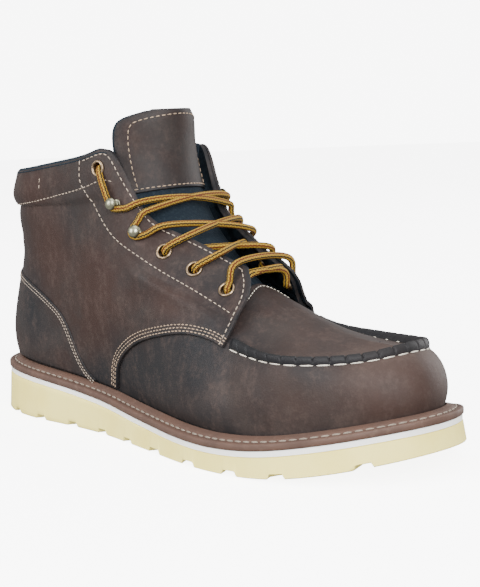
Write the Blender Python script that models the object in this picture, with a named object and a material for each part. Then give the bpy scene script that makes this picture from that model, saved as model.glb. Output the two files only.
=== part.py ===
"""Lace-up work boot for the right foot: a hollow leather upper with a moc toe on a welted wedge sole.

The toe points to +X, the medial (inner) side is +Y and the boot stands on z = 0.
Sizes are in millimetres and become metres where a mesh is made.
"""
from collections import namedtuple
from math import pi

import bmesh
import bpy
import numpy as np
from mathutils import Matrix, Vector

MM = 0.001

# y of the last's centre line, which puts the origin under the middle of the boot
CENTRE_LINE = 1.68

# Driving dimensions of the sole
OUTSOLE_INSET = 0.4
MIDSOLE_INSET = 0.6
MIDSOLE_THICKNESS = 3.0
WELT_EDGE = 3.4
WELT_LIP = 6.4
WELT_SEAT = 4.4
WELT_LIP_GAP = 0.8
WELT_FLANGE = 9.0
SPRING_START = 70.0
SPRING_RISE = 12.3
SOLE_FLARE = 1.2
INSOLE_INSET = 12.4
INSOLE_TOP = 7.5
GAP = 0.3

# Tread: wavy grooves across the sole
GROOVE_FIRST = -126.0
GROOVE_PITCH = 29.0
GROOVE_COUNT = 10
GROOVE_WIDTH = 8.5
GROOVE_DEPTH = 2.3
GROOVE_WAVE = 4.0
GROOVE_WAVES = 4
GROOVE_REACH = 64.0

# Upper and the leather laid over it
FEATHER_HEIGHT = 5.0
MEDIAL_TUCK_IN = 3.5
MEDIAL_TUCK_DOWN = 2.0
UPPER_WALL = 2.2
OVERLAY_GAP = 0.55
HOLDER_GAP = 0.9
QUARTER_TOP = 1.75
COUNTER_TOP = 2.2
MOC_ROLL_EDGE = 1.0
MOC_ROLL_HEIGHT = 2.0
MOC_ROLL_HALF = 0.16
OVERLAY_FOOT = 0.16
PANEL_GAP = 0.04
TONGUE_THICKNESS = 4.0

# Hardware and lace
EYELET_OUTER = 4.4
EYELET_INNER = 2.6
EYELET_HEIGHT = 1.0
HOOK_BASE = 3.6
HOOK_NECK = 1.0
HOOK_HEAD = 3.4
HOOK_BASE_HEIGHT = 0.6
HOOK_HEAD_HEIGHT = 1.8
LACE_RADIUS = 1.6
LACE_TURN = 4.8
LACE_TURN_ANGLES = (-1.5, 0.0, 1.5)
LACE_FACETS = 1
LACE_SPREAD = 0.17
LACE_CLEAR = 1.2
LACE_SWING = 0.3
LACE_OVERLAP = 0.08
LACE_STACK = 0.9

# Fineness of the meshes
RING_STEPS = 3
WALL_STEPS = 10
TURN_STEPS = 10
LACE_STEPS = 2

# One row for each section from heel to toe. x, lateral and medial give the sole's edge; the wall
# bulges out and up from the welt; the seam is the moc seam at the toe and the ankle at the heel;
# crown lifts the surface between seam and rim; the rim is the collar, the flap edge or the throat;
# tuck is the share of the medial seam's tuck.
Section = namedtuple(
    "Section",
    "name x lateral medial wall_out wall_up seam_x seam_half seam_z crown rim_x rim_half rim_z pad tuck",
)
SECTIONS = (
    Section("heel_back", -156.0, 0, 0, 2.0, 22, -144.0, 0, 85.0, 0, -142.0, 0, 140.0, 3.5, 0),
    Section("heel_corner", -143.7, 27.7, 26.7, 2.0, 22, -133.0, 19.0, 85.0, 0, -131.0, 20.5, 140.5, 3.5, 0),
    Section("heel_side", -110.0, 39.1, 40.9, 2.0, 22, -108.0, 30.0, 84.0, 0, -106.0, 32.0, 142.0, 3.0, 0),
    Section("heel_front", -77.0, 39.6, 39.5, 2.0, 21, -77.0, 33.0, 82.0, 0, -75.0, 35.0, 145.5, 2.5, 0),
    Section("waist", -43.5, 40.2, 36.8, 2.5, 20, -46.0, 35.0, 80.0, 0, -46.0, 35.5, 150.0, 2.0, 0),
    Section("shank", -15.0, 44.5, 40.0, 3.0, 19, -18.0, 36.5, 78.0, 0, -27.0, 32.5, 149.5, 0, 0),
    Section("instep", 13.0, 49.8, 44.9, 3.0, 18, 10.0, 37.5, 74.0, 0, -12.0, 27.5, 121.0, 0, 0),
    Section("girth", 35.0, 54.2, 49.8, 3.0, 18, 34.0, 38.0, 68.0, 0, 12.0, 20.5, 107.0, 0, 0.4),
    Section("ball", 57.0, 57.0, 53.5, 2.5, 18, 58.0, 37.5, 60.5, 0, 38.0, 13.5, 95.5, 0, 0.9),
    Section("joint", 79.0, 56.5, 52.8, 2.0, 18, 79.0, 40.0, 56.5, -1.0, 52.0, 13.5, 91.0, 0, 1.0),
    Section("toe_side", 102.0, 53.0, 49.8, 2.0, 17, 100.0, 41.0, 55.0, -3.5, 51.0, 8.0, 84.0, 0, 1.0),
    Section("toe_curve", 125.0, 41.0, 48.0, 1.8, 15, 117.5, 32.5, 54.5, -4.0, 46.0, 4.5, 82.5, 0, 0.7),
    Section("toe_corner", 146.0, 20.0, 33.0, 1.5, 13, 129.0, 20.0, 55.5, -4.5, 43.5, 2.2, 82.0, 0, 0.3),
    Section("toe_tip", 156.0, -5.0, 5.0, 1.2, 13, 135.0, 0, 57.0, -4.5, 43.0, 0, 82.0, 0, 0),
)
HALF = len(SECTIONS) - 1
STATIONS = 2 * HALF
CROWN_AT = 0.4
CUFF_SEAM = 3.45
FEATHER, WALL, SEAM, CROWN, RIM = range(5)
RAILS = 5

# Height of the welt's underside along the boot
Ride = namedtuple("Ride", "x z")
RIDE = (
    Ride(-156, 26.0),
    Ride(-95, 22.8),
    Ride(-43, 18.0),
    Ride(-3, 14.0),
    Ride(38, 11.6),
    Ride(79, 12.2),
    Ride(120, 18.0),
    Ride(156, 25.0),
)

# Edges of the leather panels: u counts sections round the boot, v counts rails up the wall
Edge = namedtuple("Edge", "u v")
COUNTER_EDGE = (
    Edge(0.0, 1.95),
    Edge(1.0, 1.90),
    Edge(2.0, 1.73),
    Edge(2.6, 1.56),
    Edge(3.0, 1.36),
    Edge(3.25, 0.95),
    Edge(3.45, 0.48),
    Edge(11 / 3, 0.2),
)
VAMP_EDGE = (
    Edge(4.3, 0.16),
    Edge(4.42, 0.75),
    Edge(4.75, 1.12),
    Edge(5.4, 1.42),
    Edge(6.25, 1.62),
    Edge(7.05, 1.78),
    Edge(7.7, 1.88),
    Edge(8.1, 1.93),
)
FLAP_FRONT = (
    Edge(8.1, 1.93),
    Edge(8.4, 2.85),
    Edge(8.8, 3.4),
    Edge(9.0, 3.75),
    Edge(8.8, 4.0),
)
BACK_SEAM = 0.01
MOC_START = 8.22

# Centre line of the tongue's outer face, its half width and how far its edges curl in
Strip = namedtuple("Strip", "x z half curl")
TONGUE = (
    Strip(58.0, 71.0, 11.0, 2.0),
    Strip(43.0, 78.6, 14.0, 3.5),
    Strip(26.0, 89.0, 19.0, 5.0),
    Strip(8.0, 101.5, 23.0, 6.0),
    Strip(-6.0, 117.0, 26.0, 9.0),
    Strip(-11.5, 135.0, 28.0, 15.0),
    Strip(-12.5, 153.0, 28.5, 20.0),
    Strip(-12.0, 166.5, 26.0, 18.0),
    Strip(-12.0, 173.0, 13.5, 6.0),
)

# Lace holders from the throat up, and where the lace crosses the flap's edge beside each
Holder = namedtuple("Holder", "name kind u v rim_u")
HOLDERS = (
    Holder("1", "eyelet", 8.0, 3.38, 8.55),
    Holder("2", "eyelet", 7.2, 3.45, 7.75),
    Holder("3", "eyelet", 6.5, 3.53, 7.05),
    Holder("4", "hook", 5.68, 3.4, 6.4),
    Holder("5", "hook", 5.0, 3.45, 5.9),
    Holder("6", "eyelet", 4.42, 3.8, 4.42),
)
SIDES = ("lateral", "medial")


def spline_weights(places, count, cyclic):
    """Share of each of count control values in a smooth curve read at places, in control numbers."""
    places = np.atleast_1d(np.asarray(places, float))
    system = np.zeros((count, count))
    rises = np.zeros((count, count))
    for i in range(count):
        before = i - 1 if cyclic else max(i - 1, 0)
        after = (i + 1) % count if cyclic else min(i + 1, count - 1)
        for neighbour, sign in ((before, -1), (after, 1)):
            if neighbour != i:
                system[i, neighbour] += 1
                system[i, i] += 2
                rises[i, neighbour] += 3 * sign
                rises[i, i] -= 3 * sign
    slopes = np.linalg.solve(system, rises)
    first = np.floor(places).astype(int)
    if not cyclic:
        first = np.clip(first, 0, count - 2)
    t = (places - first)[:, None]
    here = first % count
    there = (first + 1) % count
    unit = np.eye(count)
    return (
        (1 + 2 * t) * (1 - t) ** 2 * unit[here]
        + t * (1 - t) ** 2 * slopes[here]
        + t * t * (3 - 2 * t) * unit[there]
        - t * t * (1 - t) * slopes[there]
    )


def curve_through(xs, values, x):
    """Smooth value at x of a curve through the values given at the rising places xs."""
    x = np.clip(np.asarray(x, float), xs[0], xs[-1])
    number = np.interp(x, xs, np.arange(len(xs)))
    low = np.clip(number.astype(int), 0, len(xs) - 2)
    slopes = np.gradient(np.asarray(values, float), np.asarray(xs, float))
    values = np.asarray(values, float)
    span = np.asarray(xs, float)[low + 1] - np.asarray(xs, float)[low]
    t = number - low
    return (
        (1 + 2 * t) * (1 - t) ** 2 * values[low]
        + t * (1 - t) ** 2 * span * slopes[low]
        + t * t * (3 - 2 * t) * values[low + 1]
        - t * t * (1 - t) * span * slopes[low + 1]
    )


def ride_height(x):
    """Height of the welt's underside at x."""
    return curve_through([row.x for row in RIDE], [row.z for row in RIDE], x)


def ground_height(x):
    """Height of the tread at x: flat under heel and ball, springing up at the toe."""
    reach = (np.asarray(x) - SPRING_START) / (SECTIONS[-1].x - SPRING_START)
    return SPRING_RISE * np.clip(reach, 0, None) ** 2


def ring_rows():
    """Sections in order round the boot: heel, lateral side, toe, medial side."""
    lateral = [(row, -1) for row in SECTIONS]
    medial = [(row, 1) for row in SECTIONS[-2:0:-1]]
    return lateral + medial


SOLE_EDGE = np.array(
    [
        (row.x, CENTRE_LINE + (row.medial if side > 0 else -row.lateral))
        for row, side in ring_rows()
    ]
)
PADS = np.array([row.pad for row, side in ring_rows()])


def sole_edge(u, inset=0.0):
    """Plan points of the sole's edge at u round the boot, moved in by inset."""
    step = 0.001
    u = np.atleast_1d(np.asarray(u, float))
    here = spline_weights(u, STATIONS, True) @ SOLE_EDGE
    tangent = spline_weights(u + step, STATIONS, True) @ SOLE_EDGE - here
    tangent /= np.linalg.norm(tangent, axis=1)[:, None]
    inward = np.stack([-tangent[:, 1], tangent[:, 0]], axis=1)
    return here + inward * np.reshape(inset, (-1, 1))


def upper_rails():
    """Points of the five rails of the upper at every section round the boot."""
    rails = np.zeros((STATIONS, RAILS, 3))
    for i, (row, side) in enumerate(ring_rows()):
        feather = sole_edge(i, WELT_FLANGE)[0]
        wall = sole_edge(i, WELT_FLANGE - row.wall_out)[0]
        base = ride_height(feather[0]) + FEATHER_HEIGHT
        swing = CENTRE_LINE + (row.medial - row.lateral) / 2
        rails[i, FEATHER] = *feather, base
        rails[i, WALL] = *wall, base + row.wall_up
        tuck = row.tuck if side > 0 else 0
        seam_half = row.seam_half - tuck * MEDIAL_TUCK_IN
        rails[i, SEAM] = row.seam_x, swing + side * seam_half, row.seam_z - tuck * MEDIAL_TUCK_DOWN
        rails[i, RIM] = row.rim_x, CENTRE_LINE + side * row.rim_half, row.rim_z
        rails[i, CROWN] = (1 - CROWN_AT) * rails[i, SEAM] + CROWN_AT * rails[i, RIM]
        rails[i, CROWN, 2] += row.crown
    return rails


UPPER_RAILS = upper_rails()


def upper_form(u, v):
    """Points of the bare last form of the upper."""
    around = spline_weights(u, STATIONS, True)
    up = spline_weights(v, RAILS, False)
    return np.einsum("ij,jkc,ik->ic", around, UPPER_RAILS, up)


def upper_frame(u, v):
    """Points, outward normals and upward directions of the upper at u and v."""
    step = 0.001
    u, v = (np.ravel(a).astype(float) for a in np.broadcast_arrays(u, v))
    around = upper_form(u + step, v) - upper_form(u - step, v)
    upward = upper_form(u, np.minimum(v + step, RIM)) - upper_form(u, np.maximum(v - step, 0))
    normal = np.cross(around, upward)
    normal /= np.linalg.norm(normal, axis=1)[:, None]
    upward /= np.linalg.norm(upward, axis=1)[:, None]
    pad = np.clip(spline_weights(u, STATIONS, True) @ PADS, 0, None)
    height = np.clip((v - CUFF_SEAM) / (RIM - CUFF_SEAM), 0, 1)
    swell = pad * np.sin(pi * np.sqrt(height))
    return upper_form(u, v) + normal * swell[:, None], normal, upward


def upper_point(u, v, lift=0.0):
    """Points standing lift off the upper's outer face."""
    point, normal, upward = upper_frame(u, v)
    return point + normal * np.reshape(lift, (-1, 1))


def edge_height(edge, u):
    """v of a panel's edge at u."""
    return np.interp(u, [row.u for row in edge], [row.v for row in edge])


def grid(columns, rows):
    """A flat grid and the place of each of its vertices along and across it, from 0 to 1."""
    bm = bmesh.new()
    bmesh.ops.create_grid(bm, x_segments=columns, y_segments=rows, size=0.5)
    places = np.array([vert.co for vert in bm.verts]) + 0.5
    return bm, places[:, 0], places[:, 1]


def move_verts(verts, points):
    """Put vertices at points given in millimetres."""
    for vert, point in zip(verts, points):
        vert.co = Vector(point) * MM


def finish_material(name, colour, roughness, metallic=0.0):
    """A plain finish."""
    material = bpy.data.materials.new(name)
    material.use_nodes = True
    shader = material.node_tree.nodes["Principled BSDF"]
    shader.inputs["Base Color"].default_value = (*colour, 1.0)
    shader.inputs["Roughness"].default_value = roughness
    shader.inputs["Metallic"].default_value = metallic
    return material


def add_object(name, bm, material):
    """Turn a bmesh into a smooth-shaded object with its own finish."""
    bmesh.ops.remove_doubles(bm, verts=bm.verts, dist=0.001 * MM)
    mesh = bpy.data.meshes.new(name)
    bm.to_mesh(mesh)
    bm.free()
    mesh.shade_smooth()
    mesh.set_sharp_from_angle(angle=pi / 5)
    mesh.materials.append(material)
    thing = bpy.data.objects.new(name, mesh)
    bpy.context.scene.collection.objects.link(thing)
    return thing


def add_wall(thing, thickness, offset):
    """Give a surface object a wall of an even thickness."""
    wall = thing.modifiers.new("wall", "SOLIDIFY")
    wall.thickness = thickness * MM
    wall.offset = offset
    wall.use_even_offset = True


def hide_helper(thing):
    """Keep a cutter out of the model."""
    thing.hide_render = True
    thing.display_type = "WIRE"


def plate(inset_top, inset_bottom, top, bottom):
    """A sole layer between two height functions of x, with its edge moved in by the insets."""
    bm, along, across = grid(HALF * RING_STEPS, 1)

    def face_points(inset, height):
        lateral = sole_edge(along * HALF, inset)
        medial = sole_edge(STATIONS - along * HALF, inset)
        plan = lateral + (medial - lateral) * across[:, None]
        return np.column_stack([plan, height(plan[:, 0])])

    low_points = face_points(inset_bottom, bottom)
    move_verts(bm.verts, face_points(inset_top, top))
    faces = list(bm.faces)
    copied = bmesh.ops.duplicate(bm, geom=faces)
    low = [copied["vert_map"][vert] for vert in list(bm.verts)[: len(low_points)]]
    move_verts(low, low_points)
    rims = [edge for edge in bm.edges if edge.is_boundary]
    bmesh.ops.bridge_loops(bm, edges=rims)
    bmesh.ops.remove_doubles(bm, verts=bm.verts, dist=0.001 * MM)
    bmesh.ops.recalc_face_normals(bm, faces=bm.faces)
    return bm


def make_outsole():
    """Cream wedge with toe spring and wavy grooves cut across its tread."""
    bm = plate(
        OUTSOLE_INSET,
        -SOLE_FLARE,
        lambda x: ride_height(x) - MIDSOLE_THICKNESS - GAP,
        ground_height,
    )
    outsole = add_object("outsole", bm, finish_material("outsole_rubber", (0.76, 0.70, 0.47), 0.75))
    cutter_mesh = bmesh.new()
    for i in range(GROOVE_COUNT):
        groove, across, along = grid(1, 2 * GROOVE_WAVES)
        wave = GROOVE_WAVE * (2 * np.abs(2 * ((along * GROOVE_WAVES) % 1) - 1) - 1)
        x = GROOVE_FIRST + i * GROOVE_PITCH + (across - 0.5) * GROOVE_WIDTH + wave
        y = (along - 0.5) * 2 * GROOVE_REACH
        ground = ground_height(x)
        move_verts(groove.verts, np.column_stack([x, y, ground - GROOVE_DEPTH]))
        raised = bmesh.ops.extrude_face_region(groove, geom=list(groove.faces))
        for vert in raised["geom"]:
            if isinstance(vert, bmesh.types.BMVert):
                vert.co.z += 2 * GROOVE_DEPTH * MM
        bmesh.ops.recalc_face_normals(groove, faces=groove.faces)
        piece = bpy.data.meshes.new("groove")
        groove.to_mesh(piece)
        groove.free()
        cutter_mesh.from_mesh(piece)
    cutter = add_object("tread_cutter", cutter_mesh, finish_material("cutter", (0.5, 0.5, 0.5), 0.5))
    hide_helper(cutter)
    cut = outsole.modifiers.new("tread", "BOOLEAN")
    cut.operation = "DIFFERENCE"
    cut.solver = "EXACT"
    cut.object = cutter


def make_midsole():
    """White strip between outsole and welt."""
    bm = plate(
        MIDSOLE_INSET,
        MIDSOLE_INSET,
        lambda x: ride_height(x) - GAP,
        lambda x: ride_height(x) - MIDSOLE_THICKNESS,
    )
    add_object("midsole", bm, finish_material("midsole_rubber", (0.85, 0.85, 0.83), 0.6))


def make_insole():
    """Footbed inside the upper, filling the ring of the welt."""
    bm = plate(
        INSOLE_INSET,
        INSOLE_INSET,
        lambda x: ride_height(x) + INSOLE_TOP,
        ride_height,
    )
    add_object("insole", bm, finish_material("insole_fabric", (0.06, 0.055, 0.05), 0.9))


def make_welt():
    """Leather welt all round the boot, its top rising to a lip against the upper."""
    inner = INSOLE_INSET - GAP
    lip = WELT_FLANGE - WELT_LIP_GAP
    profile = (
        (0.0, 0.0),
        (0.0, WELT_EDGE),
        (lip, WELT_LIP),
        (lip + GAP, WELT_SEAT),
        (inner, WELT_SEAT),
        (inner, 0.0),
    )
    bm, around, turn = grid(STATIONS * RING_STEPS, len(profile))
    corner = np.rint(turn * len(profile)).astype(int) % len(profile)
    inset, height = np.array(profile)[corner].T
    plan = sole_edge(around * STATIONS, inset)
    move_verts(bm.verts, np.column_stack([plan, ride_height(plan[:, 0]) + height]))
    bmesh.ops.remove_doubles(bm, verts=bm.verts, dist=0.001 * MM)
    bmesh.ops.recalc_face_normals(bm, faces=bm.faces)
    add_object("welt", bm, finish_material("welt_leather", (0.22, 0.11, 0.07), 0.55))


def make_upper():
    """One hollow leather form, open at the collar, down the throat and underneath."""
    bm, around, up = grid(STATIONS * RING_STEPS, WALL_STEPS)
    move_verts(bm.verts, upper_point(around * STATIONS, up * RIM))
    upper = add_object("upper", bm, finish_material("upper_leather", (0.11, 0.075, 0.06), 0.5))
    add_wall(upper, UPPER_WALL, -1)


def side_u(u, side):
    """u on the lateral side, or its mirror on the medial side."""
    return u if side == "lateral" else STATIONS - u


def leather_panel(name, bm, u, v, top, colour):
    """Leather over the upper, from a grid placed in u and v; top gives its outer lift."""
    for vert, place in zip(bm.verts, zip(u, v)):
        vert.co = (*place, 0)
    bmesh.ops.remove_doubles(bm, verts=bm.verts, dist=0.002)
    base = list(bm.verts)
    u, v = np.array([vert.co[:2] for vert in base]).T
    copied = bmesh.ops.duplicate(bm, geom=list(bm.faces))
    raised = [copied["vert_map"][vert] for vert in base]
    move_verts(base, upper_point(u, v, OVERLAY_GAP))
    move_verts(raised, upper_point(u, v, top(u, v)))
    rims = [edge for edge in bm.edges if edge.is_boundary]
    bmesh.ops.bridge_loops(bm, edges=rims)
    bmesh.ops.recalc_face_normals(bm, faces=bm.faces)
    add_object(name, bm, finish_material(f"{name}_leather", colour, 0.5))


def make_quarter(side):
    """Side panel from the back seam to the flap's front, over the vamp and above the counter."""
    reach = max(row.u for row in FLAP_FRONT)
    bm, along, across = grid(round(reach * RING_STEPS), WALL_STEPS)
    row_v = across * RIM
    front = np.interp(row_v, [row.v for row in FLAP_FRONT], [row.u for row in FLAP_FRONT])
    column = along if side == "lateral" else 1 - along
    u = np.clip(column * reach, BACK_SEAM, front)
    lower = edge_height(COUNTER_EDGE + VAMP_EDGE, u) + PANEL_GAP
    v = np.maximum(row_v, lower)
    leather_panel(
        f"quarter_{side}",
        bm,
        side_u(u, side),
        v,
        lambda u, v: QUARTER_TOP,
        (0.12, 0.08, 0.065),
    )


def make_heel_counter():
    """Stiff panel wrapped round the back of the heel."""
    reach = COUNTER_EDGE[-1].u
    bm, along, across = grid(2 * round(reach * RING_STEPS), WALL_STEPS)
    u = (2 * along - 1) * reach
    v = np.clip(across * RIM, OVERLAY_FOOT, edge_height(COUNTER_EDGE, np.abs(u)))
    leather_panel("heel_counter", bm, u, v, lambda u, v: COUNTER_TOP, (0.11, 0.075, 0.06))


def make_moc_seam():
    """Raised, puckered seam that joins the toe's plug to its wall."""
    length = STATIONS - 2 * MOC_START
    bm, along, across = grid(round(length * RING_STEPS), 4)
    u = MOC_START + along * length
    v = SEAM + (2 * across - 1) * MOC_ROLL_HALF

    def roll(u, v):
        return MOC_ROLL_EDGE + MOC_ROLL_HEIGHT * np.cos(pi / 2 * (v - SEAM) / MOC_ROLL_HALF)

    leather_panel("moc_seam", bm, u, v, roll, (0.09, 0.06, 0.05))


def make_tongue():
    """Padded tongue that rises from under the plug between the flaps to above the collar."""
    bm, across, along = grid(6, 2 * (len(TONGUE) - 1))
    rows = np.array(TONGUE)
    step = 0.001
    place = along * (len(TONGUE) - 1)
    x, z, half, curl = (spline_weights(place, len(TONGUE), False) @ rows).T
    ahead = spline_weights(place + step, len(TONGUE), False) @ rows
    rise = np.stack([ahead[:, 0] - x, ahead[:, 1] - z], axis=1)
    rise /= np.linalg.norm(rise, axis=1)[:, None]
    reach = 2 * across - 1
    drop = curl * reach**2
    y = CENTRE_LINE + half * reach
    points = np.column_stack([x - rise[:, 1] * drop, y, z + rise[:, 0] * drop])
    move_verts(bm.verts, points)
    tongue = add_object("tongue", bm, finish_material("tongue_leather", (0.11, 0.075, 0.06), 0.55))
    add_wall(tongue, TONGUE_THICKNESS, -1)


def turned(profile):
    """A round solid turned from (radius, height) points about z."""
    bm = bmesh.new()
    verts = [bm.verts.new((radius * MM, 0, height * MM)) for radius, height in profile]
    edges = [bm.edges.new(pair) for pair in zip(verts, verts[1:] + verts[:1])]
    bmesh.ops.spin(
        bm,
        geom=verts + edges,
        cent=(0, 0, 0),
        axis=(0, 0, 1),
        angle=2 * pi,
        steps=TURN_STEPS,
        use_merge=True,
    )
    bmesh.ops.remove_doubles(bm, verts=bm.verts, dist=0.001 * MM)
    bmesh.ops.recalc_face_normals(bm, faces=bm.faces)
    return bm


def make_holder(holder, side):
    """An eyelet's ring or a lace hook's post and domed head, standing on the flap."""
    if holder.kind == "eyelet":
        profile = (
            (EYELET_INNER, 0.0),
            (EYELET_OUTER, 0.0),
            (EYELET_OUTER - 0.4, EYELET_HEIGHT),
            (EYELET_INNER, EYELET_HEIGHT),
        )
        finish = finish_material(f"eyelet_{side}_{holder.name}_brass", (0.30, 0.21, 0.13), 0.4, 1.0)
    else:
        neck_top = EYELET_HEIGHT + 2 * (LACE_RADIUS + LACE_CLEAR)
        profile = (
            (0.0, 0.0),
            (HOOK_BASE, 0.0),
            (HOOK_BASE, HOOK_BASE_HEIGHT),
            (HOOK_NECK, HOOK_BASE_HEIGHT),
            (HOOK_NECK, neck_top),
            (HOOK_HEAD, neck_top),
            (0.7 * HOOK_HEAD, neck_top + 0.7 * HOOK_HEAD_HEIGHT),
            (0.0, neck_top + HOOK_HEAD_HEIGHT),
        )
        finish = finish_material(f"hook_{side}_{holder.name}_metal", (0.55, 0.53, 0.45), 0.35, 1.0)
    bm = turned(profile)
    point, normal, upward = upper_frame(side_u(holder.u, side), holder.v)
    up = Vector(normal[0])
    flat = Vector(upward[0])
    turn = Matrix((flat, up.cross(flat), up)).transposed().to_4x4()
    seat = Vector(point[0]) + up * (QUARTER_TOP + HOLDER_GAP)
    bm.transform(Matrix.Translation(seat * MM) @ turn)
    add_object(f"{holder.kind}_{side}_{holder.name}", bm, finish)


def lace_half(start):
    """Route of half the lace: from the middle of the lowest bar, crossing over up to a top eyelet."""
    over_edge = QUARTER_TOP + LACE_CLEAR + LACE_RADIUS
    if start == "medial":
        over_edge += LACE_STACK
    over_ring = QUARTER_TOP + HOLDER_GAP + EYELET_HEIGHT + LACE_CLEAR + LACE_RADIUS
    points = []
    side = start

    def from_edge(holder, spread):
        """Points over the flap's edge and half way from there to a holder."""
        edge_u = holder.rim_u + spread
        half_u = holder.u + LACE_SWING * (edge_u - holder.u)
        half_v = (RIM + holder.v) / 2
        edge = upper_point(side_u(edge_u, side), RIM, over_edge)[0]
        half_way = upper_point(side_u(half_u, side), half_v, over_ring)[0]
        return [edge, half_way]

    for holder in HOLDERS[:-1]:
        last = holder is HOLDERS[-2]
        point, normal, upward = upper_frame(side_u(holder.u, side), holder.v)
        onward = np.cross(normal, upward) * (1 if side == "lateral" else -1)
        points += from_edge(holder, LACE_SPREAD)
        for angle in LACE_TURN_ANGLES[: 2 if last else None]:
            reach = np.sin(angle) * onward - np.cos(angle) * upward
            points.append((point + normal * over_ring + reach * LACE_TURN)[0])
        if last:
            top = HOLDERS[-1]
            points.append(upper_point(side_u(top.u, side), top.v, over_ring)[0])
        else:
            points += from_edge(holder, -LACE_SPREAD)[::-1]
        side = SIDES[1 - SIDES.index(side)]
    return np.array(points)


def lace_tube(name, route):
    """Round cord along a smooth curve through a route's points."""
    curve = bpy.data.curves.new(name, "CURVE")
    curve.dimensions = "3D"
    curve.resolution_u = LACE_STEPS
    curve.bevel_depth = LACE_RADIUS * MM
    curve.bevel_resolution = LACE_FACETS
    curve.use_fill_caps = True
    cord = curve.splines.new("BEZIER")
    cord.bezier_points.add(len(route) - 1)
    for point, place in zip(cord.bezier_points, route):
        point.co = place * MM
        point.handle_left_type = "AUTO"
        point.handle_right_type = "AUTO"
    holder = bpy.data.objects.new(name, curve)
    mesh = bpy.data.meshes.new_from_object(holder)
    bpy.data.objects.remove(holder)
    bm = bmesh.new()
    bm.from_mesh(mesh)
    bmesh.ops.remove_doubles(bm, verts=bm.verts, dist=0.001 * MM)
    bmesh.ops.recalc_face_normals(bm, faces=bm.faces)
    return add_object(name, bm, finish_material(f"{name}_cord", (0.50, 0.28, 0.06), 0.8))


def make_lace():
    """Lace in one piece: a bar over the throat and crossings up to the top eyelets."""
    halves = []
    for start in SIDES:
        route = lace_half(start)
        past_middle = route[0].copy()
        past_middle[1] = CENTRE_LINE - LACE_OVERLAP * (route[0, 1] - CENTRE_LINE)
        halves.append(np.vstack([past_middle, route]))
    lace = lace_tube("lace", halves[0])
    other = lace_tube("lace_other_half", halves[1])
    hide_helper(other)
    join = lace.modifiers.new("join", "BOOLEAN")
    join.operation = "UNION"
    join.solver = "EXACT"
    join.object = other


def main():
    for thing in list(bpy.data.objects):
        bpy.data.objects.remove(thing)
    make_outsole()
    make_midsole()
    make_welt()
    make_insole()
    make_upper()
    for side in SIDES:
        make_quarter(side)
    make_heel_counter()
    make_moc_seam()
    make_tongue()
    for side in SIDES:
        for holder in HOLDERS:
            make_holder(holder, side)
    make_lace()


main()
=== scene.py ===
from collections import namedtuple
from math import cos, pi, radians, sin

import bmesh
import bpy
import numpy as np
from mathutils import Matrix, Vector, kdtree


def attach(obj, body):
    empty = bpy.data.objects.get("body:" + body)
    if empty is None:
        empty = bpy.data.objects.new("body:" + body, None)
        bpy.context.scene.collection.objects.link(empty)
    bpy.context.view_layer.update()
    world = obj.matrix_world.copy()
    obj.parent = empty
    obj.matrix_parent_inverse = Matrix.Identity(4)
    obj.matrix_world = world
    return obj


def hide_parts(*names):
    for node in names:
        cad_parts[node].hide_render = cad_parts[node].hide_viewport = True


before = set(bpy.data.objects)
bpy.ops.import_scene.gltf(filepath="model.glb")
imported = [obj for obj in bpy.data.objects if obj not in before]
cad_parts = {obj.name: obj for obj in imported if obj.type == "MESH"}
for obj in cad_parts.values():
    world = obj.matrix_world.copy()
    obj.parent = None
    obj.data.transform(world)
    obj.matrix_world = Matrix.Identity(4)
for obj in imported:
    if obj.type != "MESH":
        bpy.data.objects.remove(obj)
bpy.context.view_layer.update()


# Upper
# One piece of oiled leather drawn over the last and lined inside with dark fabric. The wall of the
# toe and the plug on top of it are its visible parts; every other leather panel is sewn over it.
MM = 0.001
STEP = 0.001
WELD = 0.002
SHARP_ANGLE = radians(50)
CENTRE_LINE = 1.68
WELT_FLANGE = 9.0
FEATHER_HEIGHT = 5.0
MEDIAL_TUCK_IN = 3.5
MEDIAL_TUCK_DOWN = 2.0
UPPER_WALL = 2.2
CROWN_AT = 0.4
CUFF_SEAM = 3.45
FEATHER, WALL, SEAM, CROWN, RIM = range(5)
RAILS = 5
Section = namedtuple(
    "Section",
    "name x lateral medial wall_out wall_up seam_x seam_half seam_z crown rim_x rim_half rim_z pad tuck",
)
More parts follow.
